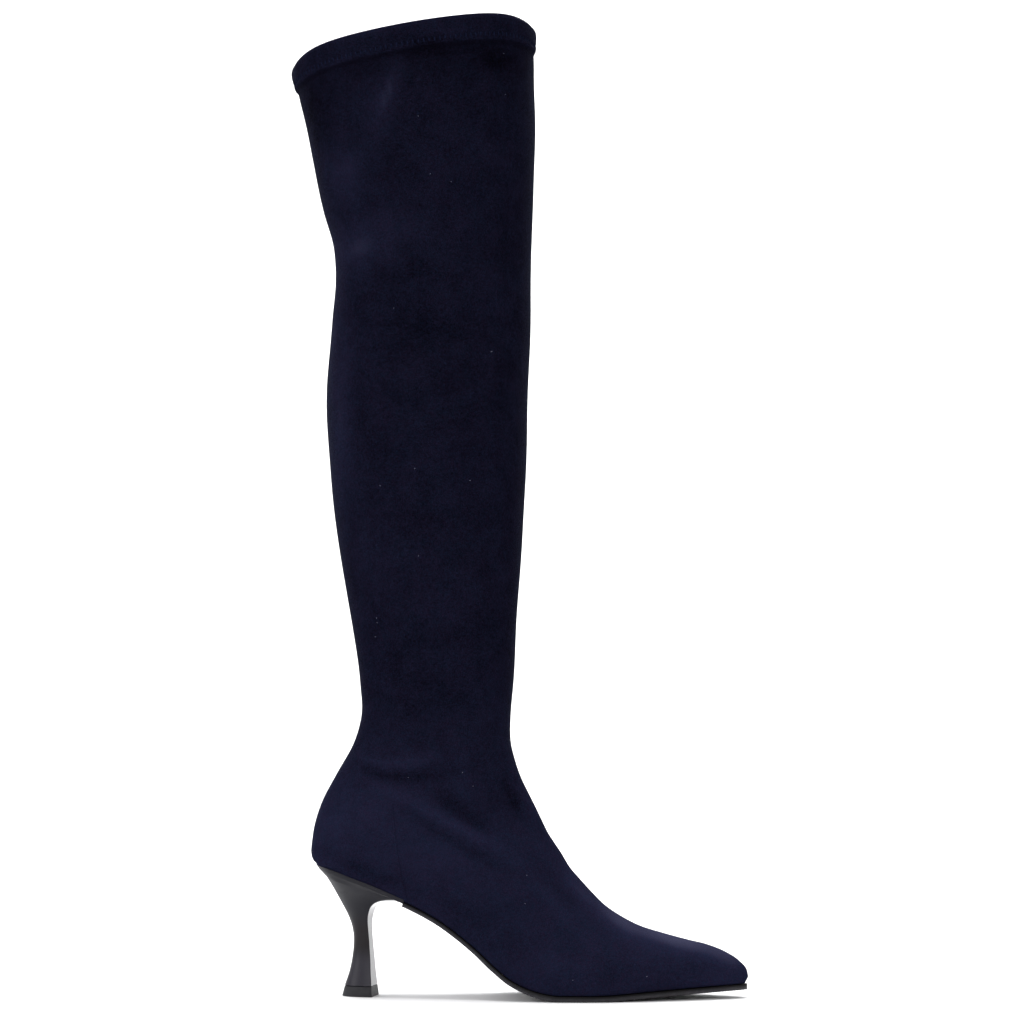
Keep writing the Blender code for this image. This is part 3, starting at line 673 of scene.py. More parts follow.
def crease_profile(x, z, row):
    """Lift at each point of the side view from one crease, fading to nothing at both its ends."""
    start, middle, end = (np.array(row[k : k + 2]) * FOOT_LENGTH for k in (0, 2, 4))
    lift, reach = row[6], row[7]
    steps = np.linspace(0.0, 1.0, 33)
    line = np.outer((1 - steps) ** 2, start)
    line += np.outer(2 * steps * (1 - steps), 2 * middle - (start + end) / 2)
    line += np.outer(steps**2, end)
    offsets = np.hypot(x[:, None] - line[:, 0], z[:, None] - line[:, 1])
    nearest = offsets.argmin(axis=1)
    fade = np.sin(np.pi * np.clip(steps[nearest], 0.02, 0.98)) ** 0.7
    return lift * fade * np.exp(-((offsets.min(axis=1) / reach) ** 2))


def crease_lift(points):
    """All the creases together: full on the outer side of the boot, softer on the inner side."""
    side = 1.0 - (1.0 - INNER_SIDE_CREASES) * smooth(points[:, 1], -0.010, 0.010)
    lift = sum(crease_profile(points[:, 0], points[:, 2], row) for row in CREASES)
    return lift * side


def nap_and_light_patches(points):
    """How much lighter the nap is at each point, from worn nap and from painted light and shade, summed
    over the listed patches.
    """
    total = np.zeros(len(points))
    for x, z, reach_x, reach_z, lean, strength in NAP_AND_LIGHT_PATCHES:
        angle = math.radians(lean)
        ahead = points[:, 0] / FOOT_LENGTH - x
        above = points[:, 2] / FOOT_LENGTH - z
        along = ahead * math.cos(angle) + above * math.sin(angle)
        up = above * math.cos(angle) - ahead * math.sin(angle)
        total += strength * np.exp(-((along / reach_x) ** 2) - (up / reach_z) ** 2)
    return total


def seam_distance(points):
    """Signed distance to the side seams and the seam up the back, within their reach."""
    line = np.array(SIDE_SEAM) * FOOT_LENGTH
    heights = np.linspace(line[0, 1], line[-1, 1], 60)
    places = cubic(line[:, 1], line[:, 0], heights, free_slopes)
    gap = np.hypot(points[:, 0, None] - places, points[:, 2, None] - heights)
    nearest = gap.argmin(axis=1)
    sign = np.where(points[:, 0] > places[nearest], 1.0, -1.0)
    side = sign * gap.min(axis=1)
    back = points[:, 1]
    middle = np.interp(points[:, 2], *zip(*BACK_LIMIT))
    behind = (points[:, 0] < middle) & (points[:, 2] > last_bottom(SEAT_REAR)[0] + 0.001)
    both = np.where(behind & (np.abs(back) < np.abs(side)), back, side)
    return np.clip(both, -SEAM_REACH, SEAM_REACH)


def soft_waves(points):
    """Slow swells of a soft shaft that stands by itself."""
    x, y, z = points.T
    rise = smooth(z, 0.12, 0.22) * (1.0 - smooth(z, 0.50, 0.54))
    waves = 0.0
    for on_z, on_x, on_y, phase, share in SWELLS:
        waves = waves + share * np.sin(z * on_z + x * on_x + y * on_y + phase)
    return SWELL_LIFT * rise * waves


def shown(name, data):
    """A new object with this data, put in the scene."""
    made = bpy.data.objects.new(name, data)
    bpy.context.scene.collection.objects.link(made)
    return made


def keep(name, points, faces, finishes, values=None, finish_of=None, sharp=40.0):
    """An object at the origin from points and faces, with its own values at the points."""
    mesh = bpy.data.meshes.new(name)
    mesh.from_pydata((np.asarray(points) + SHIFT).tolist(), [], [tuple(face) for face in faces])
    work = bmesh.new()
    work.from_mesh(mesh)
    bmesh.ops.recalc_face_normals(work, faces=work.faces)
    work.to_mesh(mesh)
    work.free()
    for finish in finishes:
        mesh.materials.append(finish)
    if finish_of is not None:
        mesh.polygons.foreach_set("material_index", np.asarray(finish_of, np.int32))
    for label, numbers in (values or {}).items():
        layer = mesh.attributes.new(label, "FLOAT", "POINT")
        layer.data.foreach_set("value", np.asarray(numbers, np.float32))
    mesh.shade_smooth()
    mesh.set_sharp_from_angle(angle=math.radians(sharp))
    return shown(name, mesh)


def make_upper(suede, lining):
    """The suede shell with its hem, seams and creases, lined inside. Returns it, its hem's stitch
    line with the directions out of the wall there, and the same for its whole outer face."""
    stations, sections, seat = upper_stations()
    skin = Skin()
    rings = []
    place_of = []
    for place, row in zip(stations, sections):
        on_foot = place > seat
        if on_foot:
            row[1] = last_bottom(row[0])[0]
        rings.append(skin.ring(upper_ring(row, on_foot, place)))
        place_of += [place] * (len(skin.points) - len(place_of))
    for first, second in zip(rings[:-1], rings[1:]):
        skin.strip(first, second)
    skin.zip_up(rings[-1])
    base = np.array(skin.points)
    place_of = np.array(place_of)
    normals = point_normals(base, skin.faces)
    if normals[rings[len(rings) // 3][LOWER_COLUMNS]][1] > 0:
        normals = -normals
    centres, tops = bottom_frame(base[:, 0])
    wall_height = (base[:, 2] - centres[:, 1]) * tops[:, 1]
    on_wall = np.where(place_of > seat, smooth(wall_height, 0.001, 0.006), 1.0)
    creases = crease_lift(base) * on_wall
    seams = seam_distance(base)
    hem = np.interp(place_of, *zip(*HEM_PROFILE))
    seam_dip = SEAM_DIP * np.exp(-((seams / SEAM_HALF_WIDTH) ** 2)) * on_wall
    lift = hem + creases + seam_dip * (place_of > HEM_DEPTH) + soft_waves(base)
    outside = base + normals * lift[:, None]
    turned_in = HEM_TURN_IN * (1.0 - smooth(place_of, HEM_DEPTH - 0.001, HEM_DEPTH))
    inside = base - normals * (WALL + turned_in - 0.3 * creases)[:, None]
    count = len(base)
    points = [outside, inside]
    faces = list(skin.faces)
    faces += [tuple(count + corner for corner in reversed(face)) for face in skin.faces]
    inner_from = len(skin.faces)
    lined = [False] * inner_from
    lined += [place_of[list(face)].max() > HEM_DEPTH for face in skin.faces]
    rim = set(rings[0])
    rolled = {}
    upward = normals_up(base, rings[0], rings[1])
    total = 2 * count
    for corner in sorted(rim):
        ids = [corner]
        for k in range(1, RIM_ROLL_RINGS + 1):
            share = k / (RIM_ROLL_RINGS + 1)
            place = outside[corner] * (1 - share) + inside[corner] * share
            points.append((place + upward[corner] * RIM_ROLL * math.sin(math.pi * share))[None, :])
            ids.append(total)
            total += 1
        rolled[corner] = ids + [count + corner]
    for a, b in border_edges(skin.faces):
        if a in rim and b in rim:
            for k in range(RIM_ROLL_RINGS + 1):
                faces.append((rolled[b][k], rolled[a][k], rolled[a][k + 1], rolled[b][k + 1]))
        else:
            faces.append((b, a, count + a, count + b))
    lined += [False] * (len(faces) - len(lined))
    points = np.concatenate(points)
    extra = len(points) - 2 * count
    # Painted light in the nap: highlights and shade from the patches and the creases, and painted shade
    # on the flanks that face forwards and back
    flank = (1.0 - np.abs(normals[:, 1])) ** 1.5 * smooth(base[:, 2], 0.10, 0.20)
    nap_light_and_shade = nap_and_light_patches(base) + creases * CREASE_PAINTED_LIGHT - FLANK_SHADE * flank
    values = {
        "nap_and_painted_light": np.concatenate([nap_light_and_shade, nap_light_and_shade, np.zeros(extra)]),
        "seam": np.concatenate([seams, np.full(count + extra, SEAM_REACH)]),
        "below_rim": np.concatenate([place_of, place_of, np.zeros(extra)]),
    }
    made = keep("suede_upper", points, faces, [suede, lining], values, lined, sharp=55.0)
    row = int(np.searchsorted(stations, STITCH_DEPTH))
    line = list(dict.fromkeys(rings[row]))
    return made, outside[line], normals[line], outside, normals


def normals_up(base, first, second):
    """At each point of the rim, the direction up out of the boot."""
    up = {}
    for a, b in zip(first, second):
        step = base[a] - base[b]
        up[a] = step / max(np.linalg.norm(step), 1e-9)
    return up


def slab(name, stations, outset, section_of, finish):
    """A layer that follows the last's underside, from a section at each station."""
    centres, normals = bottom_frame(stations)
    outer, inner = feather(stations, outset)
    skin = Skin()
    rings = []
    down = {}
    for k in range(len(stations)):
        section = section_of(k)
        highest = max(distance for _, distance, _ in section)
        depth = highest - min(distance for _, distance, _ in section)
        places = []
        for share, distance, inset in section:
            half = inner[k] if share > 0 else outer[k]
            narrow = max(half - inset * min(1.0, half / SOLE_THICKNESS), half * 0.5)
            x, z = centres[k] + normals[k] * distance
            places.append((x, share * narrow, z))
        rings.append(skin.ring(np.array(places)))
        for index, (_, distance, _) in zip(rings[-1], section):
            down[index] = (highest - distance) / depth
    for first, second in zip(rings[:-1], rings[1:]):
        skin.strip(first, second, closed=True)
    for ring in (rings[0], rings[-1]):
        skin.faces.append(tuple(dict.fromkeys(ring)))
    values = {"down": [down[index] for index in range(len(skin.points))]}
    return keep(name, skin.points, skin.faces, [finish], values)


def make_outsole(finish):
    """The outsole: thin under the arch, with a rounded edge and fine ribs across the forepart."""
    start, end = BREAST_PLACE + CLEARANCE, TOE_TIP + SOLE_PROUD * 0.98
    arch = np.linspace(start, TREAD_START, SOLE_ARCH_STATIONS, endpoint=False)
    tip = end - SOLE_TOE_REACH
    fore = np.linspace(TREAD_START, tip, SOLE_STATIONS, endpoint=False)
    toe = tip + (end - tip) * np.sin(np.linspace(0.0, math.pi / 2, SOLE_TOE_STATIONS))
    stations = np.concatenate([arch, fore, toe])
    rows = np.array(LAST_BOTTOM)
    depth = SOLE_THICKNESS * cubic(rows[:, 0] * FOOT_LENGTH, rows[:, 5], stations)
    wave = 0.5 - 0.5 * np.cos(2 * math.pi * (stations - TREAD_START) / TREAD_PITCH)
    groove = TREAD_DEPTH * np.clip(wave * 1.6 - 0.5, 0.0, 1.0)
    groove *= smooth(stations, TREAD_START, TREAD_START + TREAD_FADE)

    def section_of(k):
        points = [(-1.0, -CLEARANCE - depth[k] * down, SOLE_PROUD * inset) for down, inset in SOLE_EDGE]
        under = -CLEARANCE - depth[k]
        shares = np.linspace(-1.0, 1.0, SOLE_ACROSS)
        for share in shares:
            cut = groove[k] * (TREAD_AT_EDGE if abs(share) == 1.0 else 1.0)
            points.append((float(share), under + cut, SOLE_PROUD * SOLE_UNDER_INSET))
        points += [(1.0, distance, inset) for _, distance, inset in points[len(SOLE_EDGE) - 1 :: -1]]
        return points

    return slab("rubber_outsole", stations, SOLE_PROUD, section_of, finish)


def make_sock(finish):
    """The sock lining over the insole, a thin sheet with rounded edges."""
    start = SEAT_REAR + SOCK_INSET + SOCK_TIP
    end = TOE_TIP - SOCK_INSET - SOCK_TIP
    turn = np.linspace(0.0, math.pi, SOCK_STATIONS)
    stations = start + (end - start) * (0.5 - 0.5 * np.cos(turn))
    under = WALL + CLEARANCE
    rim_inset, foot_inset = SOCK_EDGE[0][1], SOCK_EDGE[-1][1]
    shares = np.linspace(-1.0, 1.0, SOCK_ACROSS)

    def section_of(k):
        points = [(-1.0, under + SOCK_THICKNESS * up, inset) for up, inset in SOCK_EDGE]
        points += [(float(share), under, foot_inset) for share in shares[1:-1]]
        points += [(1.0, distance, inset) for _, distance, inset in points[len(SOCK_EDGE) - 1 :: -1]]
        points += [(float(share), under + SOCK_THICKNESS, rim_inset) for share in shares[-2:0:-1]]
        return points

    return slab("sock_lining", stations, -SOCK_INSET, section_of, finish)


def heel_plan(rear, front, half, roundness, turn, keel=0.0):
    """One ring of the heel: a flat front, lower in the middle by the keel, and a round back."""
    middle = (rear[0] + front[0]) / 2
    corner = len(BREAST_SHARES)
    share = np.concatenate([np.zeros(corner), SIDE_SHARES])
    share[corner] = HEEL_CORNER
    reach = np.concatenate([BREAST_SHARES, (1.0 - share[corner:] ** roundness) ** 0.5])
    drop = keel * np.append(1.0 - BREAST_SHARES**2, np.zeros(len(SIDE_SHARES)))
    along = front[0] + (rear[0] - front[0]) * share - middle
    height = front[1] + (rear[1] - front[1]) * share - drop
    sides = []
    for sign in (-1, 1):
        across = sign * half * reach
        x = middle + along * math.cos(turn) + across * math.sin(turn)
        y = across * math.cos(turn) - along * math.sin(turn)
        sides.append(np.stack([x, y, height], axis=1))
    return np.concatenate([sides[0], sides[1][-2::-1]])


def seat_plan(lip, keel):
    """The heel's top edge: the feather edge from the breast to the rear, at the lip's depth, with
    the keel's depth at the middle of the breast."""
    stations = BREAST_PLACE + (SEAT_REAR - BREAST_PLACE) * SIDE_SHARES
    centres, normals = bottom_frame(stations)
    lean = np.stack([normals[:, 0] * (1.0 - SIDE_SHARES), normals[:, 1]], axis=1)
    thinned = lip * (1.0 - HEEL_LIP_THINNING * SIDE_SHARES)
    places = centres - normals * CLEARANCE - lean * thinned[:, None]
    front = places[0] - normals[0] * keel * (1.0 - BREAST_SHARES[:, None] ** 2)
    sides = []
    for sign, half in zip((-1, 1), feather(stations)):
        x = np.concatenate([front[:, 0], places[:, 0]])
        y = sign * np.concatenate([half[0] * BREAST_SHARES, half])
        z = np.concatenate([front[:, 1], places[:, 1]])
        sides.append(np.stack([x, y, z], axis=1))
    return np.concatenate([sides[0], sides[1][-2::-1]])


def out_of(ring):
    """At each point of a ring, the level direction out of it."""
    step = np.roll(ring[:, :2], -1, axis=0) - np.roll(ring[:, :2], 1, axis=0)
    out = np.stack([step[:, 1], -step[:, 0], np.zeros(len(step))], axis=1)
    out /= np.linalg.norm(out, axis=1)[:, None]
    return out if ((ring - ring.mean(axis=0)) * out).sum() > 0 else -out


def on_sides(ring):
    """1 round the sides and rear of a ring, 0 across its breast."""
    wanted = np.zeros(len(ring))
    wanted[HEEL_FRONT_POINTS + 1 : -(HEEL_FRONT_POINTS + 1)] = 1.0
    return wanted


def rim_plan(seat, rise, gap, outside, normals):
    """The seat's edge carried up the outside of the suede by the rise, a gap away from it. The
    breast stays where it is."""
    out = out_of(seat)
    low = (outside[:, 0] < BREAST_PLACE + RIM_SEARCH) & (outside[:, 2] < HEEL_HEIGHT + RIM_SEARCH)
    near, facing = outside[low], normals[low]
    lifted = seat + np.array([0.0, 0.0, rise])
    reach = np.zeros(len(seat))
    for k in np.flatnonzero(on_sides(seat)):
        guess = lifted[k] + out[k] * rise
        hit = np.where(facing @ out[k] > RIM_FACING, ((near - guess) ** 2).sum(axis=1), 1.0).argmin()
        reach[k] = ((near[hit] - lifted[k]) @ facing[hit] + gap) / (facing[hit] @ out[k])
    reach = np.clip(reach, gap, RIM_LEAN * rise + gap)
    for _ in range(RIM_SMOOTHINGS):
        reach = (np.roll(reach, 1) + 2 * reach + np.roll(reach, -1)) / 4
    return np.where(on_sides(seat)[:, None] > 0, lifted + out * reach[:, None], seat)


def loft(name, rings, finish, sharp=40.0, marks=None):
    """A closed piece through rings. Marks are values for the places along every ring."""
    skin = Skin()
    indexed = [skin.ring(ring) for ring in rings]
    for first, second in zip(indexed[:-1], indexed[1:]):
        skin.strip(first, second, closed=True)
    skin.zip_up(indexed[0])
    skin.zip_up(indexed[-1])
    values = {}
    for label, numbers in (marks or {}).items():
        values[label] = np.zeros(len(skin.points))
        for ring in indexed:
            values[label][ring] = numbers
    return keep(name, skin.points, skin.faces, [finish], values, sharp=sharp)


def make_heel(finish, outside, normals):
    """The glossy heel: its lip under the seat, then a smooth run through the narrow waist."""
    foot = TOP_LIFT_HEIGHT + CLEARANCE
    rows = list(HEEL_RINGS)
    rows.append(
        (
            (TOP_LIFT_REAR + TOP_LIFT_FLARE) / FOOT_LENGTH,
            foot / HEEL_HEIGHT,
            (TOP_LIFT_REAR + TOP_LIFT_LENGTH - TOP_LIFT_FLARE / 3) / FOOT_LENGTH,
            foot / HEEL_HEIGHT,
            (TOP_LIFT_WIDTH / 2 - TOP_LIFT_FLARE) / BALL_WIDTH,
            TOP_LIFT_ROUNDNESS,
            0.0,
        )
    )
    rows = np.array(rows)
    middle_x = (rows[:, 0] + rows[:, 2]) * FOOT_LENGTH / 2
    middle_z = (rows[:, 1] + rows[:, 3]) * HEEL_HEIGHT / 2
    steps = np.hypot(np.diff(middle_x), np.diff(middle_z))
    places = np.concatenate([[0.0], np.cumsum(steps)])
    stations = places[-1] * np.linspace(0.0, 1.0, HEEL_BLOCK_RINGS) ** 1.3
    columns = [cubic(places, rows[:, k], stations, free_slopes) for k in range(7)]
    seat = seat_plan(0.0, 0.0)
    rings = [seat]
    for up, away in RIM_PROFILE:
        gap = RIM_GAP + RIM_THICKNESS * away
        rings.append(rim_plan(seat, RIM_RISE * up, gap, outside, normals))
    lip = seat_plan(HEEL_LIP, HEEL_KEEL)
    rings.append(lip + out_of(lip) * on_sides(lip)[:, None] * RIM_EASE)
    passed = np.interp(stations, places, np.arange(len(rows)))
    turns = np.clip(2.0 * passed / len(HEEL_RINGS), 0.0, 1.0)
    first = ring_of(columns, 0, turns)
    lip = rings[-1]
    for share in LIP_BLEND:
        rings.append(lip * (1 - share) + first * share)
    for k in range(HEEL_BLOCK_RINGS):
        rings.append(ring_of(columns, k, turns))
    return loft("gloss_heel", rings, finish, 50.0, {"side": on_sides(seat)})


def ring_of(columns, k, turns):
    """The k-th ring of the heel block."""
    rear_x, rear_up, front_x, front_up, half, roundness, drop = [column[k] for column in columns]
    rear = (rear_x * FOOT_LENGTH, rear_up * HEEL_HEIGHT)
    front = (front_x * FOOT_LENGTH, front_up * HEEL_HEIGHT)
    keel = max(drop, 0.0) * HEEL_HEIGHT
    return heel_plan(rear, front, half * BALL_WIDTH, roundness, HEEL_TURN * turns[k], keel)


def make_top_lift(finish):
    """The rubber top lift, with its edges just broken."""
    rings = []
    for height, inset in TOP_LIFT_RINGS:
        flare = TOP_LIFT_FLARE * height + inset
        z = TOP_LIFT_HEIGHT * height
        rear = (TOP_LIFT_REAR + flare, z)
        front = (TOP_LIFT_REAR + TOP_LIFT_LENGTH - flare / 3, z)
        half = TOP_LIFT_WIDTH / 2 - flare
        rings.append(heel_plan(rear, front, half, TOP_LIFT_ROUNDNESS, HEEL_TURN))
    return loft("rubber_top_lift", rings, finish)


# Shader parts
def feed(tree, socket, value):
    """Links the value where it is a socket, and sets it where it is a plain one."""
    if isinstance(value, bpy.types.NodeSocket):
        tree.links.new(value, socket)
    else:
        socket.default_value = value


def put(tree, kind, settings=None, **inputs):
    """A node with its settings and inputs. An input is named, or i and its number."""
    node = tree.nodes.new(kind)
    for name, value in (settings or {}).items():
        setattr(node, name, value)
    for name, value in inputs.items():
        numbered = name[0] == "i" and name[1:].isdigit()
        feed(tree, node.inputs[int(name[1:]) if numbered else name.replace("_", " ")], value)
    return node


def reckon(tree, operation, first, second, clamp=False):
    settings = {"operation": operation, "use_clamp": clamp}
    return put(tree, "ShaderNodeMath", settings, i0=first, i1=second).outputs[0]


def plus(tree, first, second, clamp=False):
    return reckon(tree, "ADD", first, second, clamp)


def times(tree, first, second):
    return reckon(tree, "MULTIPLY", first, second)


def blend_colours(tree, share, first, second):
    node = put(tree, "ShaderNodeMix", {"data_type": "RGBA"}, i0=share, i6=first, i7=second)
    return node.outputs[2]


def soft_step(tree, value, low, high):
    """0 below low and 1 above high, over a soft step. Turned over where high is the smaller."""
    node = put(tree, "ShaderNodeMapRange", {"interpolation_type": "SMOOTHSTEP"}, Value=value)
    if low < high:
        numbers = (low, high, 0.0, 1.0)
    else:
        numbers = (high, low, 1.0, 0.0)
    for name, number in zip(("From Min", "From Max", "To Min", "To Max"), numbers):
        node.inputs[name].default_value = number
    return node.outputs[0]


def group(name, inputs, outputs, fill):
    """A node group with named inputs (name, kind, value) and outputs (name, kind)."""
    tree = bpy.data.node_groups.new(name, "ShaderNodeTree")
    for label, kind, value in inputs:
        socket = tree.interface.new_socket(label, in_out="INPUT", socket_type=kind)
        socket.default_value = value
    for label, kind in outputs:
        tree.interface.new_socket(label, in_out="OUTPUT", socket_type=kind)
    entry = tree.nodes.new("NodeGroupInput")
    leave = tree.nodes.new("NodeGroupOutput")
    results = fill(tree, entry.outputs)
    for label, _ in outputs:
        tree.links.new(results[label], leave.inputs[label])
    return tree


def cloudiness_group():
    """Soft clouds on the piece's own coordinates, 0 to 1, used for nap, dust and smears."""

    def fill(tree, given):
        spot = own_place(tree)
        noise = put(
            tree,
            "ShaderNodeTexNoise",
            Vector=spot,
            Scale=given["Scale"],
            Detail=given["Detail"],
            Roughness=0.6,
            Distortion=given["Swirl"],
        )
        edge = put(
            tree,
            "ShaderNodeMapRange",
            {"interpolation_type": "SMOOTHSTEP"},
            Value=noise.outputs[0],
            From_Min=given["Low"],
            From_Max=given["High"],
        )
        return {"Mask": edge.outputs[0]}

    return group(
        "cloudiness",
        [
            ("Scale", "NodeSocketFloat", 60.0),
            ("Detail", "NodeSocketFloat", 3.0),
            ("Swirl", "NodeSocketFloat", 0.4),
            ("Low", "NodeSocketFloat", 0.35),
            ("High", "NodeSocketFloat", 0.65),
        ],
        [("Mask", "NodeSocketFloat")],
        fill,
    )


def fine_grain_group():
    """Bump of a fine even grain, as on nap, rubber and woven lining."""

    def fill(tree, given):
        spot = own_place(tree)
        wide = given["Scale"]
        narrow = times(tree, wide, 2.7)
        coarse = put(tree, "ShaderNodeTexNoise", Vector=spot, Scale=wide, Detail=2.0, Roughness=0.65)
        fine = put(tree, "ShaderNodeTexNoise", Vector=spot, Scale=narrow, Detail=1.0)
        height = plus(tree, coarse.outputs[0], times(tree, fine.outputs[0], 0.6))
        bump = put(
            tree,
            "ShaderNodeBump",
            Strength=given["Strength"],
            Distance=given["Depth"],
            Height=height,
        )
        return {"Normal": bump.outputs[0]}

    return group(
        "fine_grain",
        [
            ("Scale", "NodeSocketFloat", 1200.0),
            ("Strength", "NodeSocketFloat", 0.6),
            ("Depth", "NodeSocketFloat", 0.0004),
        ],
        [("Normal", "NodeSocketVector")],
        fill,
    )


def placed(tree, shared, **inputs):
    """A shared group placed in a material with its own values."""
    node = tree.nodes.new("ShaderNodeGroup")
    node.node_tree = shared
    for name, value in inputs.items():
        feed(tree, node.inputs[name], value)
    return node.outputs


def finish_named(name, fill, **constants):
    """A material whose shader takes constants on its own sockets and the rest from fill."""
    made = bpy.data.materials.new(name)
    made.use_nodes = True
    tree = made.node_tree
    shader = tree.nodes["Principled BSDF"]
    for label, value in constants.items():
        shader.inputs[label.replace("_", " ")].default_value = value
    for label, socket in fill(tree).items():
        tree.links.new(socket, shader.inputs[label])
    return made


def own_place(tree):
    """The piece's own coordinates."""
    return put(tree, "ShaderNodeTexCoord").outputs["Object"]


def height_of(tree):
    return put(tree, "ShaderNodeSeparateXYZ", i0=own_place(tree)).outputs[2]


def value_of(tree, name):
    return put(tree, "ShaderNodeAttribute", {"attribute_name": name}).outputs["Fac"]


def suede_finish(clouds, grain):
    """Navy microsuede: brushed nap in soft light and dark blots, fine fibres, a dark line along
    each seam and a painted shadow under the hem. Painted light in the nap: lighter towards the
    foot, painted highlights and shade from the patches and creases, painted shade on the turned
    away flanks and a pale painted highlight where that light is strongest."""

    def fill(tree):
        nap_and_painted_light = value_of(tree, "nap_and_painted_light")
        seam = reckon(tree, "ABSOLUTE", value_of(tree, "seam"), 0.0)
        below = value_of(tree, "below_rim")
        broad = placed(tree, clouds, Scale=24.0, Detail=2.0, Swirl=0.8, Low=0.30, High=0.70)["Mask"]
        blots = placed(tree, clouds, Scale=85.0, Detail=3.0, Swirl=0.6, Low=0.30, High=0.70)["Mask"]
        hues = placed(tree, clouds, Scale=55.0, Detail=2.0, Swirl=1.0, Low=0.38, High=0.62)["Mask"]
        flecks = placed(tree, clouds, Scale=600.0, Detail=3.0, Swirl=0.3, Low=0.32, High=0.68)["Mask"]
        fibres = placed(tree, clouds, Scale=2000.0, Detail=2.0, Swirl=0.0, Low=0.32, High=0.68)["Mask"]
        warmth = placed(tree, clouds, Scale=900.0, Detail=3.0, Swirl=0.5, Low=0.35, High=0.65)["Mask"]
        # Painted light: the suede lighter towards the foot
        foot = soft_step(tree, height_of(tree), *FOOT_LIGHT_SPAN)
        # The nap's tone: random blots, flecks and fibres, plus painted light and shade from the patches,
        # creases and flanks and towards the foot
        tone = 0.0
        for mask, share in (
            (broad, 0.07),
            (blots, 0.08),
            (flecks, 0.11),
            (fibres, 0.34),
            (nap_and_painted_light, 0.27),
            (foot, 0.27),
        ):
            tone = plus(tree, tone, times(tree, mask, share))
        blue = blend_colours(tree, tone, BLUE_DARK, BLUE_LIGHT)
        violet = blend_colours(tree, tone, VIOLET_DARK, VIOLET_LIGHT)
        warm = plus(tree, times(tree, warmth, 0.80), times(tree, hues, 0.20))
        colour = blend_colours(tree, warm, blue, violet)
        # Pale painted highlight where the painted light is strongest
        colour = blend_colours(tree, soft_step(tree, nap_and_painted_light, 0.6, 1.7), colour, PALE_PAINTED_HIGHLIGHT)
        line = soft_step(tree, seam, 0.0006, 0.0001)
        drawn = times(tree, line, soft_step(tree, below, *SEAM_FROM_HEM))
        drawn = times(tree, drawn, times(tree, flecks, 0.45))
        colour = blend_colours(tree, drawn, colour, SEAM_SHADOW)
        # Painted shadow under the hem, and a wider soft painted shadow below it
        for start, end, strength, shade in (
            (HEM_SHADOW_IN, HEM_SHADOW_OUT, 0.5, HEM_SHADOW),
            (HEM_SOFT_SHADOW_IN, HEM_SOFT_SHADOW_OUT, 0.30, HEM_SOFT_SHADOW),
        ):
            band = times(tree, soft_step(tree, below, *start), soft_step(tree, below, *end))
            colour = blend_colours(tree, times(tree, band, strength), colour, shade)
        nap = placed(tree, grain, Scale=1300.0, Strength=0.55, Depth=0.0005)
        furrow = put(
            tree,
            "ShaderNodeBump",
            {"invert": True},
            Strength=0.3,
            Distance=0.0004,
            Height=line,
            Normal=nap["Normal"],
        )
        rough = reckon(tree, "SUBTRACT", 0.98, times(tree, tone, 0.10))
        return {"Base Color": colour, "Roughness": rough, "Normal": furrow.outputs[0]}

    return finish_named(
        "navy_suede",
        fill,
        Sheen_Weight=0.08,
        Sheen_Roughness=0.22,
        Sheen_Tint=SUEDE_SHEEN,
        Specular_IOR_Level=0.0,
    )


def lining_finish(clouds, grain):
    def fill(tree):
        weave = placed(tree, clouds, Scale=900.0, Detail=2.0, Swirl=0.0, Low=0.3, High=0.7)["Mask"]
        colour = blend_colours(tree, weave, LINING_DARK, LINING_LIGHT)
        bump = placed(tree, grain, Scale=1600.0, Strength=0.5, Depth=0.0003)
        return {"Base Color": colour, "Normal": bump["Normal"]}

    return finish_named("smooth_lining", fill, Roughness=0.85, Sheen_Weight=0.02, Specular_IOR_Level=0.12)


def thread_finish(clouds, grain):
    def fill(tree):
        twist = placed(tree, clouds, Scale=1800.0, Detail=1.0, Swirl=0.2, Low=0.3, High=0.7)["Mask"]
        colour = blend_colours(tree, twist, THREAD_DARK, THREAD_LIGHT)
        bump = placed(tree, grain, Scale=2400.0, Strength=0.4, Depth=0.0002)
        return {"Base Color": colour, "Normal": bump["Normal"]}

    return finish_named("hem_thread", fill, Roughness=0.9, Specular_IOR_Level=0.0)


def lint_finish(clouds):
    def fill(tree):
        mottled = placed(tree, clouds, Scale=2500.0, Detail=1.0, Swirl=0.0, Low=0.3, High=0.7)["Mask"]
        return {"Base Color": blend_colours(tree, mottled, LINT_DARK, LINT_LIGHT)}

    return finish_named("lint", fill, Roughness=0.9)


def rubber_finish(name, colours, clouds, grain, roughness, grain_scale, gloss=0.25, edge=None):
    """Dark rubber, dusty in places, with a fine moulded grain. With an edge colour, a painted
    shade at the top of its edge, under the upper, which clears towards the bottom."""

    def fill(tree):
        smears = placed(tree, clouds, Scale=150.0, Detail=4.0, Swirl=1.0, Low=0.40, High=0.72)["Mask"]
        scuffs = placed(tree, clouds, Scale=700.0, Detail=3.0, Swirl=0.0, Low=0.52, High=0.80)["Mask"]
        share = plus(tree, times(tree, smears, 0.35), times(tree, scuffs, 0.30), clamp=True)
        colour = blend_colours(tree, share, *colours)
        # Painted shade at the top of the edge, under the upper, clearing downwards
        if edge is not None:
            cleared = soft_step(tree, value_of(tree, "down"), 0.08, 0.85)
            colour = blend_colours(tree, cleared, edge, colour)
        rough = plus(tree, roughness, times(tree, smears, 0.12))
        bump = placed(tree, grain, Scale=grain_scale, Strength=0.25, Depth=0.0002)
        return {"Base Color": colour, "Roughness": rough, "Normal": bump["Normal"]}

    return finish_named(name, fill, Specular_IOR_Level=gloss)


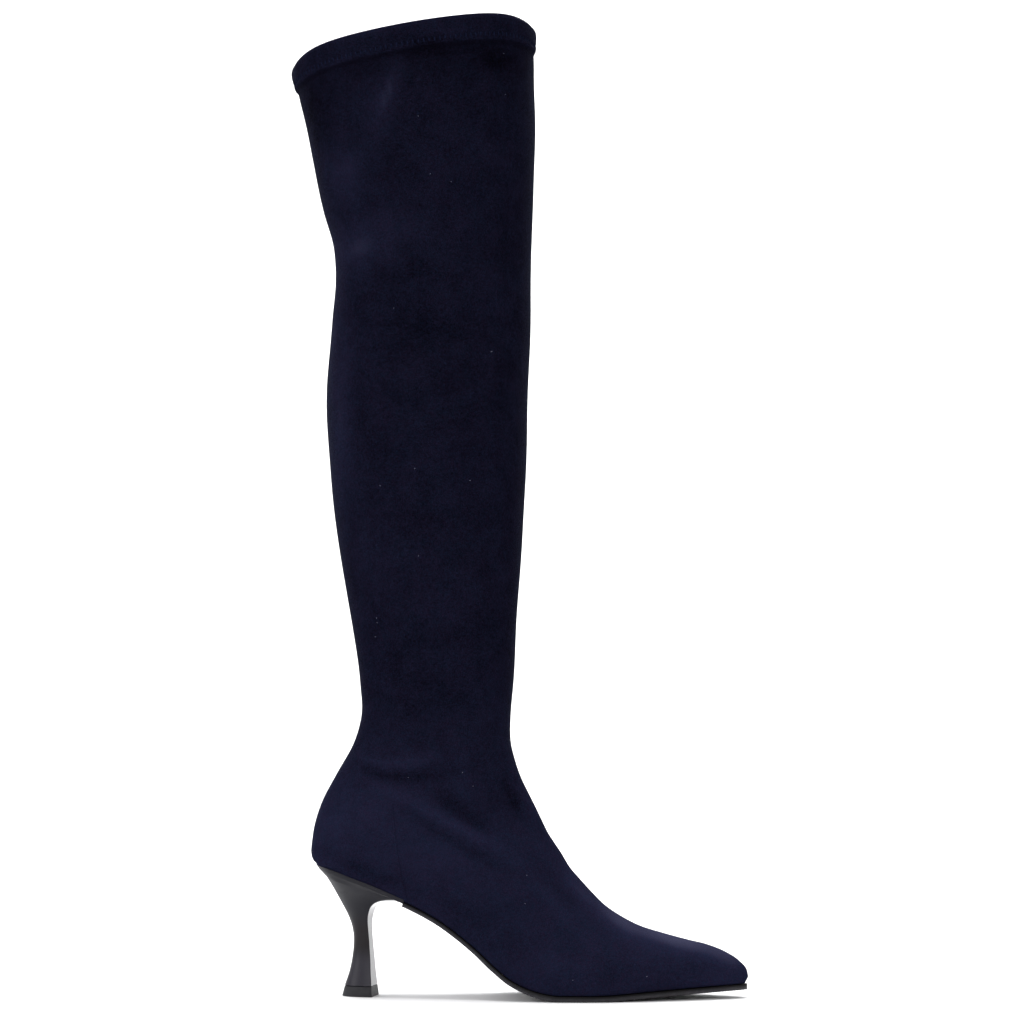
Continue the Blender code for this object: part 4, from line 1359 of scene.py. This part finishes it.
def gloss_finish(clouds, grain):
    """Black lacquered heel: a clear gloss with faint hairline smears and a little dust, painted shade at
    the waist and a painted highlight on the flare.
    """

    def fill(tree):
        smears = placed(tree, clouds, Scale=120.0, Detail=4.0, Swirl=1.5, Low=0.45, High=0.75)["Mask"]
        dust = placed(tree, clouds, Scale=1400.0, Detail=2.0, Swirl=0.0, Low=0.66, High=0.78)["Mask"]
        height = height_of(tree)
        # Painted shade at the waist and painted highlight on the flare
        plain = blend_colours(tree, soft_step(tree, height, *WAIST_SPAN), HEEL_BLOCK, HEEL_WAIST_SHADE)
        plain = blend_colours(tree, soft_step(tree, height, *FLARE_SPAN), plain, HEEL_FLARE_HIGHLIGHT)
        colour = blend_colours(tree, times(tree, dust, 0.25), plain, HEEL_DUST)
        side = value_of(tree, "side")
        block = times(tree, side, soft_step(tree, height, *BLOCK_SPAN))
        rough = 0.10
        for mask, share in ((smears, 0.06), (side, 0.18), (block, 0.26)):
            rough = plus(tree, rough, times(tree, mask, share))
        bump = placed(tree, grain, Scale=260.0, Strength=0.05, Depth=0.0002)
        return {"Base Color": colour, "Roughness": rough, "Normal": bump["Normal"]}

    return finish_named("heel_gloss_black", fill, Specular_IOR_Level=0.19)


def floor_finish():
    def fill(tree):
        spot = own_place(tree)
        noise = put(tree, "ShaderNodeTexNoise", Vector=spot, Scale=1.5, Detail=1.0)
        return {"Base Color": blend_colours(tree, noise.outputs[0], FLOOR_DULL, FLOOR_PALE)}

    return finish_named("pale_floor", fill, Roughness=0.75, Specular_IOR_Level=0.2)


# Geometry Nodes
def tree_named(name, sockets):
    tree = bpy.data.node_groups.new(name, "GeometryNodeTree")
    tree.interface.new_socket("Geometry", in_out="INPUT", socket_type="NodeSocketGeometry")
    for label, kind, value in sockets:
        socket = tree.interface.new_socket(label, in_out="INPUT", socket_type=kind)
        if value is not None:
            socket.default_value = value
    tree.interface.new_socket("Geometry", in_out="OUTPUT", socket_type="NodeSocketGeometry")
    return tree, tree.nodes.new("NodeGroupInput").outputs, tree.nodes.new("NodeGroupOutput").inputs


def named_vector(tree, name):
    return put(tree, "GeometryNodeInputNamedAttribute", {"data_type": "FLOAT_VECTOR"}, Name=name)


def swung(tree, rotation, swing):
    """A rotation with a further swing in its own frame."""
    settings = {"rotation_space": "LOCAL"}
    return put(tree, "FunctionNodeRotateRotation", settings, Rotation=rotation, i1=swing).outputs[0]


def stitch_row_tree():
    """Stitches across a line, an even pitch apart. The line's points say which way is out."""
    tree, given, leave = tree_named(
        "stitch_row",
        [
            ("Pitch", "NodeSocketFloat", STITCH_PITCH),
            ("Length", "NodeSocketFloat", STITCH_LENGTH),
            ("Width", "NodeSocketFloat", STITCH_WIDTH),
            ("Height", "NodeSocketFloat", STITCH_HEIGHT),
            ("Thread", "NodeSocketMaterial", None),
        ],
    )
    curve = put(tree, "GeometryNodeMeshToCurve", Mesh=given["Geometry"])
    spaced = put(tree, "GeometryNodeResampleCurve", Curve=curve.outputs[0])
    spaced.mode = "LENGTH"
    tree.links.new(given["Pitch"], spaced.inputs["Length"])
    ball = put(tree, "GeometryNodeMeshUVSphere", Segments=10, Rings=8, Radius=0.5)
    size = put(tree, "ShaderNodeCombineXYZ")
    for name, socket in zip(("Width", "Length", "Height"), size.inputs):
        tree.links.new(given[name], socket)
    outward = named_vector(tree, "outward")
    along = put(tree, "GeometryNodeInputTangent")
    up = put(tree, "FunctionNodeAlignRotationToVector", {"axis": "Z"}, Vector=outward.outputs[0])
    turned = put(
        tree,
        "FunctionNodeAlignRotationToVector",
        {"axis": "X", "pivot_axis": "Z"},
        Rotation=up.outputs[0],
        Vector=along.outputs[0],
    )
    wobble = put(tree, "FunctionNodeRandomValue", {"data_type": "FLOAT_VECTOR"}, Seed=7)
    wobble.inputs[0].default_value = (-0.10, -0.10, -0.12)
    wobble.inputs[1].default_value = (0.10, 0.10, 0.12)
    swing = put(tree, "FunctionNodeEulerToRotation", Euler=wobble.outputs[0])
    final = swung(tree, turned.outputs[0], swing.outputs[0])
    placed_on = put(
        tree,
        "GeometryNodeInstanceOnPoints",
        Points=spaced.outputs[0],
        Instance=ball.outputs[0],
        Rotation=final,
        Scale=size.outputs[0],
    )
    solid = put(tree, "GeometryNodeRealizeInstances", Geometry=placed_on.outputs[0])
    rounded = put(tree, "GeometryNodeSetShadeSmooth", Geometry=solid.outputs[0])
    coloured = put(tree, "GeometryNodeSetMaterial", Geometry=rounded.outputs[0])
    tree.links.new(given["Thread"], coloured.inputs["Material"])
    tree.links.new(coloured.outputs[0], leave["Geometry"])
    return tree


def lint_tree():
    """A small fibre at each point, lying on the surface and turned at random."""
    tree, given, leave = tree_named(
        "lint",
        [
            ("Thickness", "NodeSocketFloat", LINT_THICKNESS),
            ("Seed", "NodeSocketInt", 11),
            ("Finish", "NodeSocketMaterial", None),
        ],
    )
    ball = put(tree, "GeometryNodeMeshIcoSphere", Radius=0.5, Subdivisions=2)
    outward = named_vector(tree, "outward")
    length = put(tree, "GeometryNodeInputNamedAttribute", {"data_type": "FLOAT"}, Name="length")
    up = put(tree, "FunctionNodeAlignRotationToVector", {"axis": "Z"}, Vector=outward.outputs[0])
    spin = put(tree, "FunctionNodeRandomValue", {"data_type": "FLOAT_VECTOR"}, Seed=given["Seed"])
    spin.inputs[0].default_value = (0.0, 0.0, 0.0)
    spin.inputs[1].default_value = (0.0, 0.0, 3.1)
    swing = put(tree, "FunctionNodeEulerToRotation", Euler=spin.outputs[0])
    final = swung(tree, up.outputs[0], swing.outputs[0])
    size = put(tree, "ShaderNodeCombineXYZ", X=length.outputs[0])
    tree.links.new(given["Thickness"], size.inputs[1])
    tree.links.new(given["Thickness"], size.inputs[2])
    placed_on = put(
        tree,
        "GeometryNodeInstanceOnPoints",
        Points=given["Geometry"],
        Instance=ball.outputs[0],
        Rotation=final,
        Scale=size.outputs[0],
    )
    solid = put(tree, "GeometryNodeRealizeInstances", Geometry=placed_on.outputs[0])
    coloured = put(tree, "GeometryNodeSetMaterial", Geometry=solid.outputs[0])
    tree.links.new(given["Finish"], coloured.inputs["Material"])
    tree.links.new(coloured.outputs[0], leave["Geometry"])
    return tree


def grown(name, points, edges, values, tree, **inputs):
    """The mesh that a tree grows on points and edges, as a plain object at the origin."""
    mesh = bpy.data.meshes.new(name + "_line")
    mesh.from_pydata((points + SHIFT).tolist(), edges, [])
    for label, (kind, slot, numbers) in values.items():
        layer = mesh.attributes.new(label, kind, "POINT")
        layer.data.foreach_set(slot, np.asarray(numbers, np.float32).ravel())
    seed = shown(name + "_line", mesh)
    modifier = seed.modifiers.new(name, "NODES")
    modifier.node_group = tree
    for item in tree.interface.items_tree:
        if item.item_type == "SOCKET" and item.in_out == "INPUT" and item.name in inputs:
            modifier[item.identifier] = inputs[item.name]
    bpy.context.view_layer.update()
    seen = seed.evaluated_get(bpy.context.evaluated_depsgraph_get())
    made = shown(name, bpy.data.meshes.new_from_object(seen))
    bpy.data.objects.remove(seed)
    return made


def make_stitches(line, outward, thread):
    """The single row of stitches that holds the folded hem."""
    edges = [(k, (k + 1) % len(line)) for k in range(len(line))]
    values = {"outward": ("FLOAT_VECTOR", "vector", outward)}
    points = line + outward * STITCH_LIFT
    return grown("hem_stitches", points, edges, values, stitch_row_tree(), Thread=thread)


def make_lint(outside, normals, finish):
    """Bits of lint on the outer side, each on the nearest point of the suede."""
    lateral = np.flatnonzero(outside[:, 1] < -0.004)
    places = []
    for x, z, _ in LINT:
        gaps = np.hypot(outside[lateral, 0] - x * FOOT_LENGTH, outside[lateral, 2] - z * FOOT_LENGTH)
        places.append(lateral[gaps.argmin()])
    values = {
        "outward": ("FLOAT_VECTOR", "vector", normals[places]),
        "length": ("FLOAT", "value", [length / 1000 for _, _, length in LINT]),
    }
    points = outside[places] + normals[places] * LINT_LIFT
    return grown("lint_specks", points, [], values, lint_tree(), Finish=finish)


# Stage
def make_floor(finish):
    """A pale floor that sweeps up behind the boot."""
    width, front, back, bend, height = 8.0, -4.0, 2.2, 1.2, 4.5
    profile = [(front, 0.0), (back, 0.0)]
    for k in range(1, 17):
        angle = math.pi / 2 * k / 16
        profile.append((back + bend * math.sin(angle), bend * (1 - math.cos(angle))))
    profile.append((back + bend, height))
    points = [(side * width / 2, y, z) for y, z in profile for side in (-1, 1)]
    faces = [(2 * k, 2 * k + 1, 2 * k + 3, 2 * k + 2) for k in range(len(profile) - 1)]
    mesh = bpy.data.meshes.new("studio_floor")
    mesh.from_pydata(points, [], faces)
    mesh.materials.append(finish)
    mesh.shade_smooth()
    return shown("studio_floor", mesh)


def softbox(name, place, aim, size, power):
    light = bpy.data.lights.new(name, "AREA")
    light.shape = "RECTANGLE"
    light.size, light.size_y = size
    light.energy = power
    made = shown(name, light)
    made.location = place
    made.rotation_euler = (Vector(aim) - Vector(place)).to_track_quat("-Z", "Y").to_euler()


def set_stage():
    floor = make_floor(floor_finish())
    world = bpy.data.worlds.new("studio")
    world.use_nodes = True
    sky = world.node_tree.nodes["Background"]
    sky.inputs[0].default_value = (1.0, 1.0, 1.0, 1.0)
    sky.inputs[1].default_value = SKY_STRENGTH
    bpy.context.scene.world = world
    bpy.context.scene.view_settings.view_transform = "Standard"
    for row in LIGHTS:
        softbox(*row)
    camera = shown("camera", bpy.data.cameras.new("camera"))
    camera.data.lens = LENS
    camera.data.sensor_width = SENSOR
    away = Vector((math.sin(CAMERA_TURN), -math.cos(CAMERA_TURN), 0.0)) * CAMERA_DISTANCE
    camera.location = (CAMERA_AIM.x + away.x, away.y, CAMERA_HEIGHT)
    camera.rotation_euler = (CAMERA_AIM - camera.location).to_track_quat("-Z", "Y").to_euler()
    bpy.context.scene.camera = camera


def main():
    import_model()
    clouds, grain = cloudiness_group(), fine_grain_group()
    suede = suede_finish(clouds, grain)
    lining = lining_finish(clouds, grain)
    sole_rubber = rubber_finish(
        "sole_rubber", (SOLE_DARK, SOLE_DUSTY), clouds, grain, 0.40, 900.0, gloss=0.10, edge=SOLE_EDGE_SHADE
    )
    lift_rubber = rubber_finish("lift_rubber", (LIFT_DARK, LIFT_DUSTY), clouds, grain, 0.50, 1200.0)
    gloss = gloss_finish(clouds, grain)
    upper, line, outward, outside, normals = make_upper(suede, lining)
    pieces = (
        (upper, "upper", "suede"),
        (make_outsole(sole_rubber), "outsole", "sole"),
        (make_heel(gloss, outside, normals), "heel", "heel_gloss"),
        (make_sock(lining), "insole", "sock_lining"),
        (make_top_lift(lift_rubber), "top_lift", "lift_rubber"),
        (make_stitches(line, outward, thread_finish(clouds, grain)), None, "suede"),
        (make_lint(outside, normals, lint_finish(clouds)), None, "suede"),
    )
    for piece, node, slot in pieces:
        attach(piece, "root")
        if node:
            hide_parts(node)
    set_stage()


main()
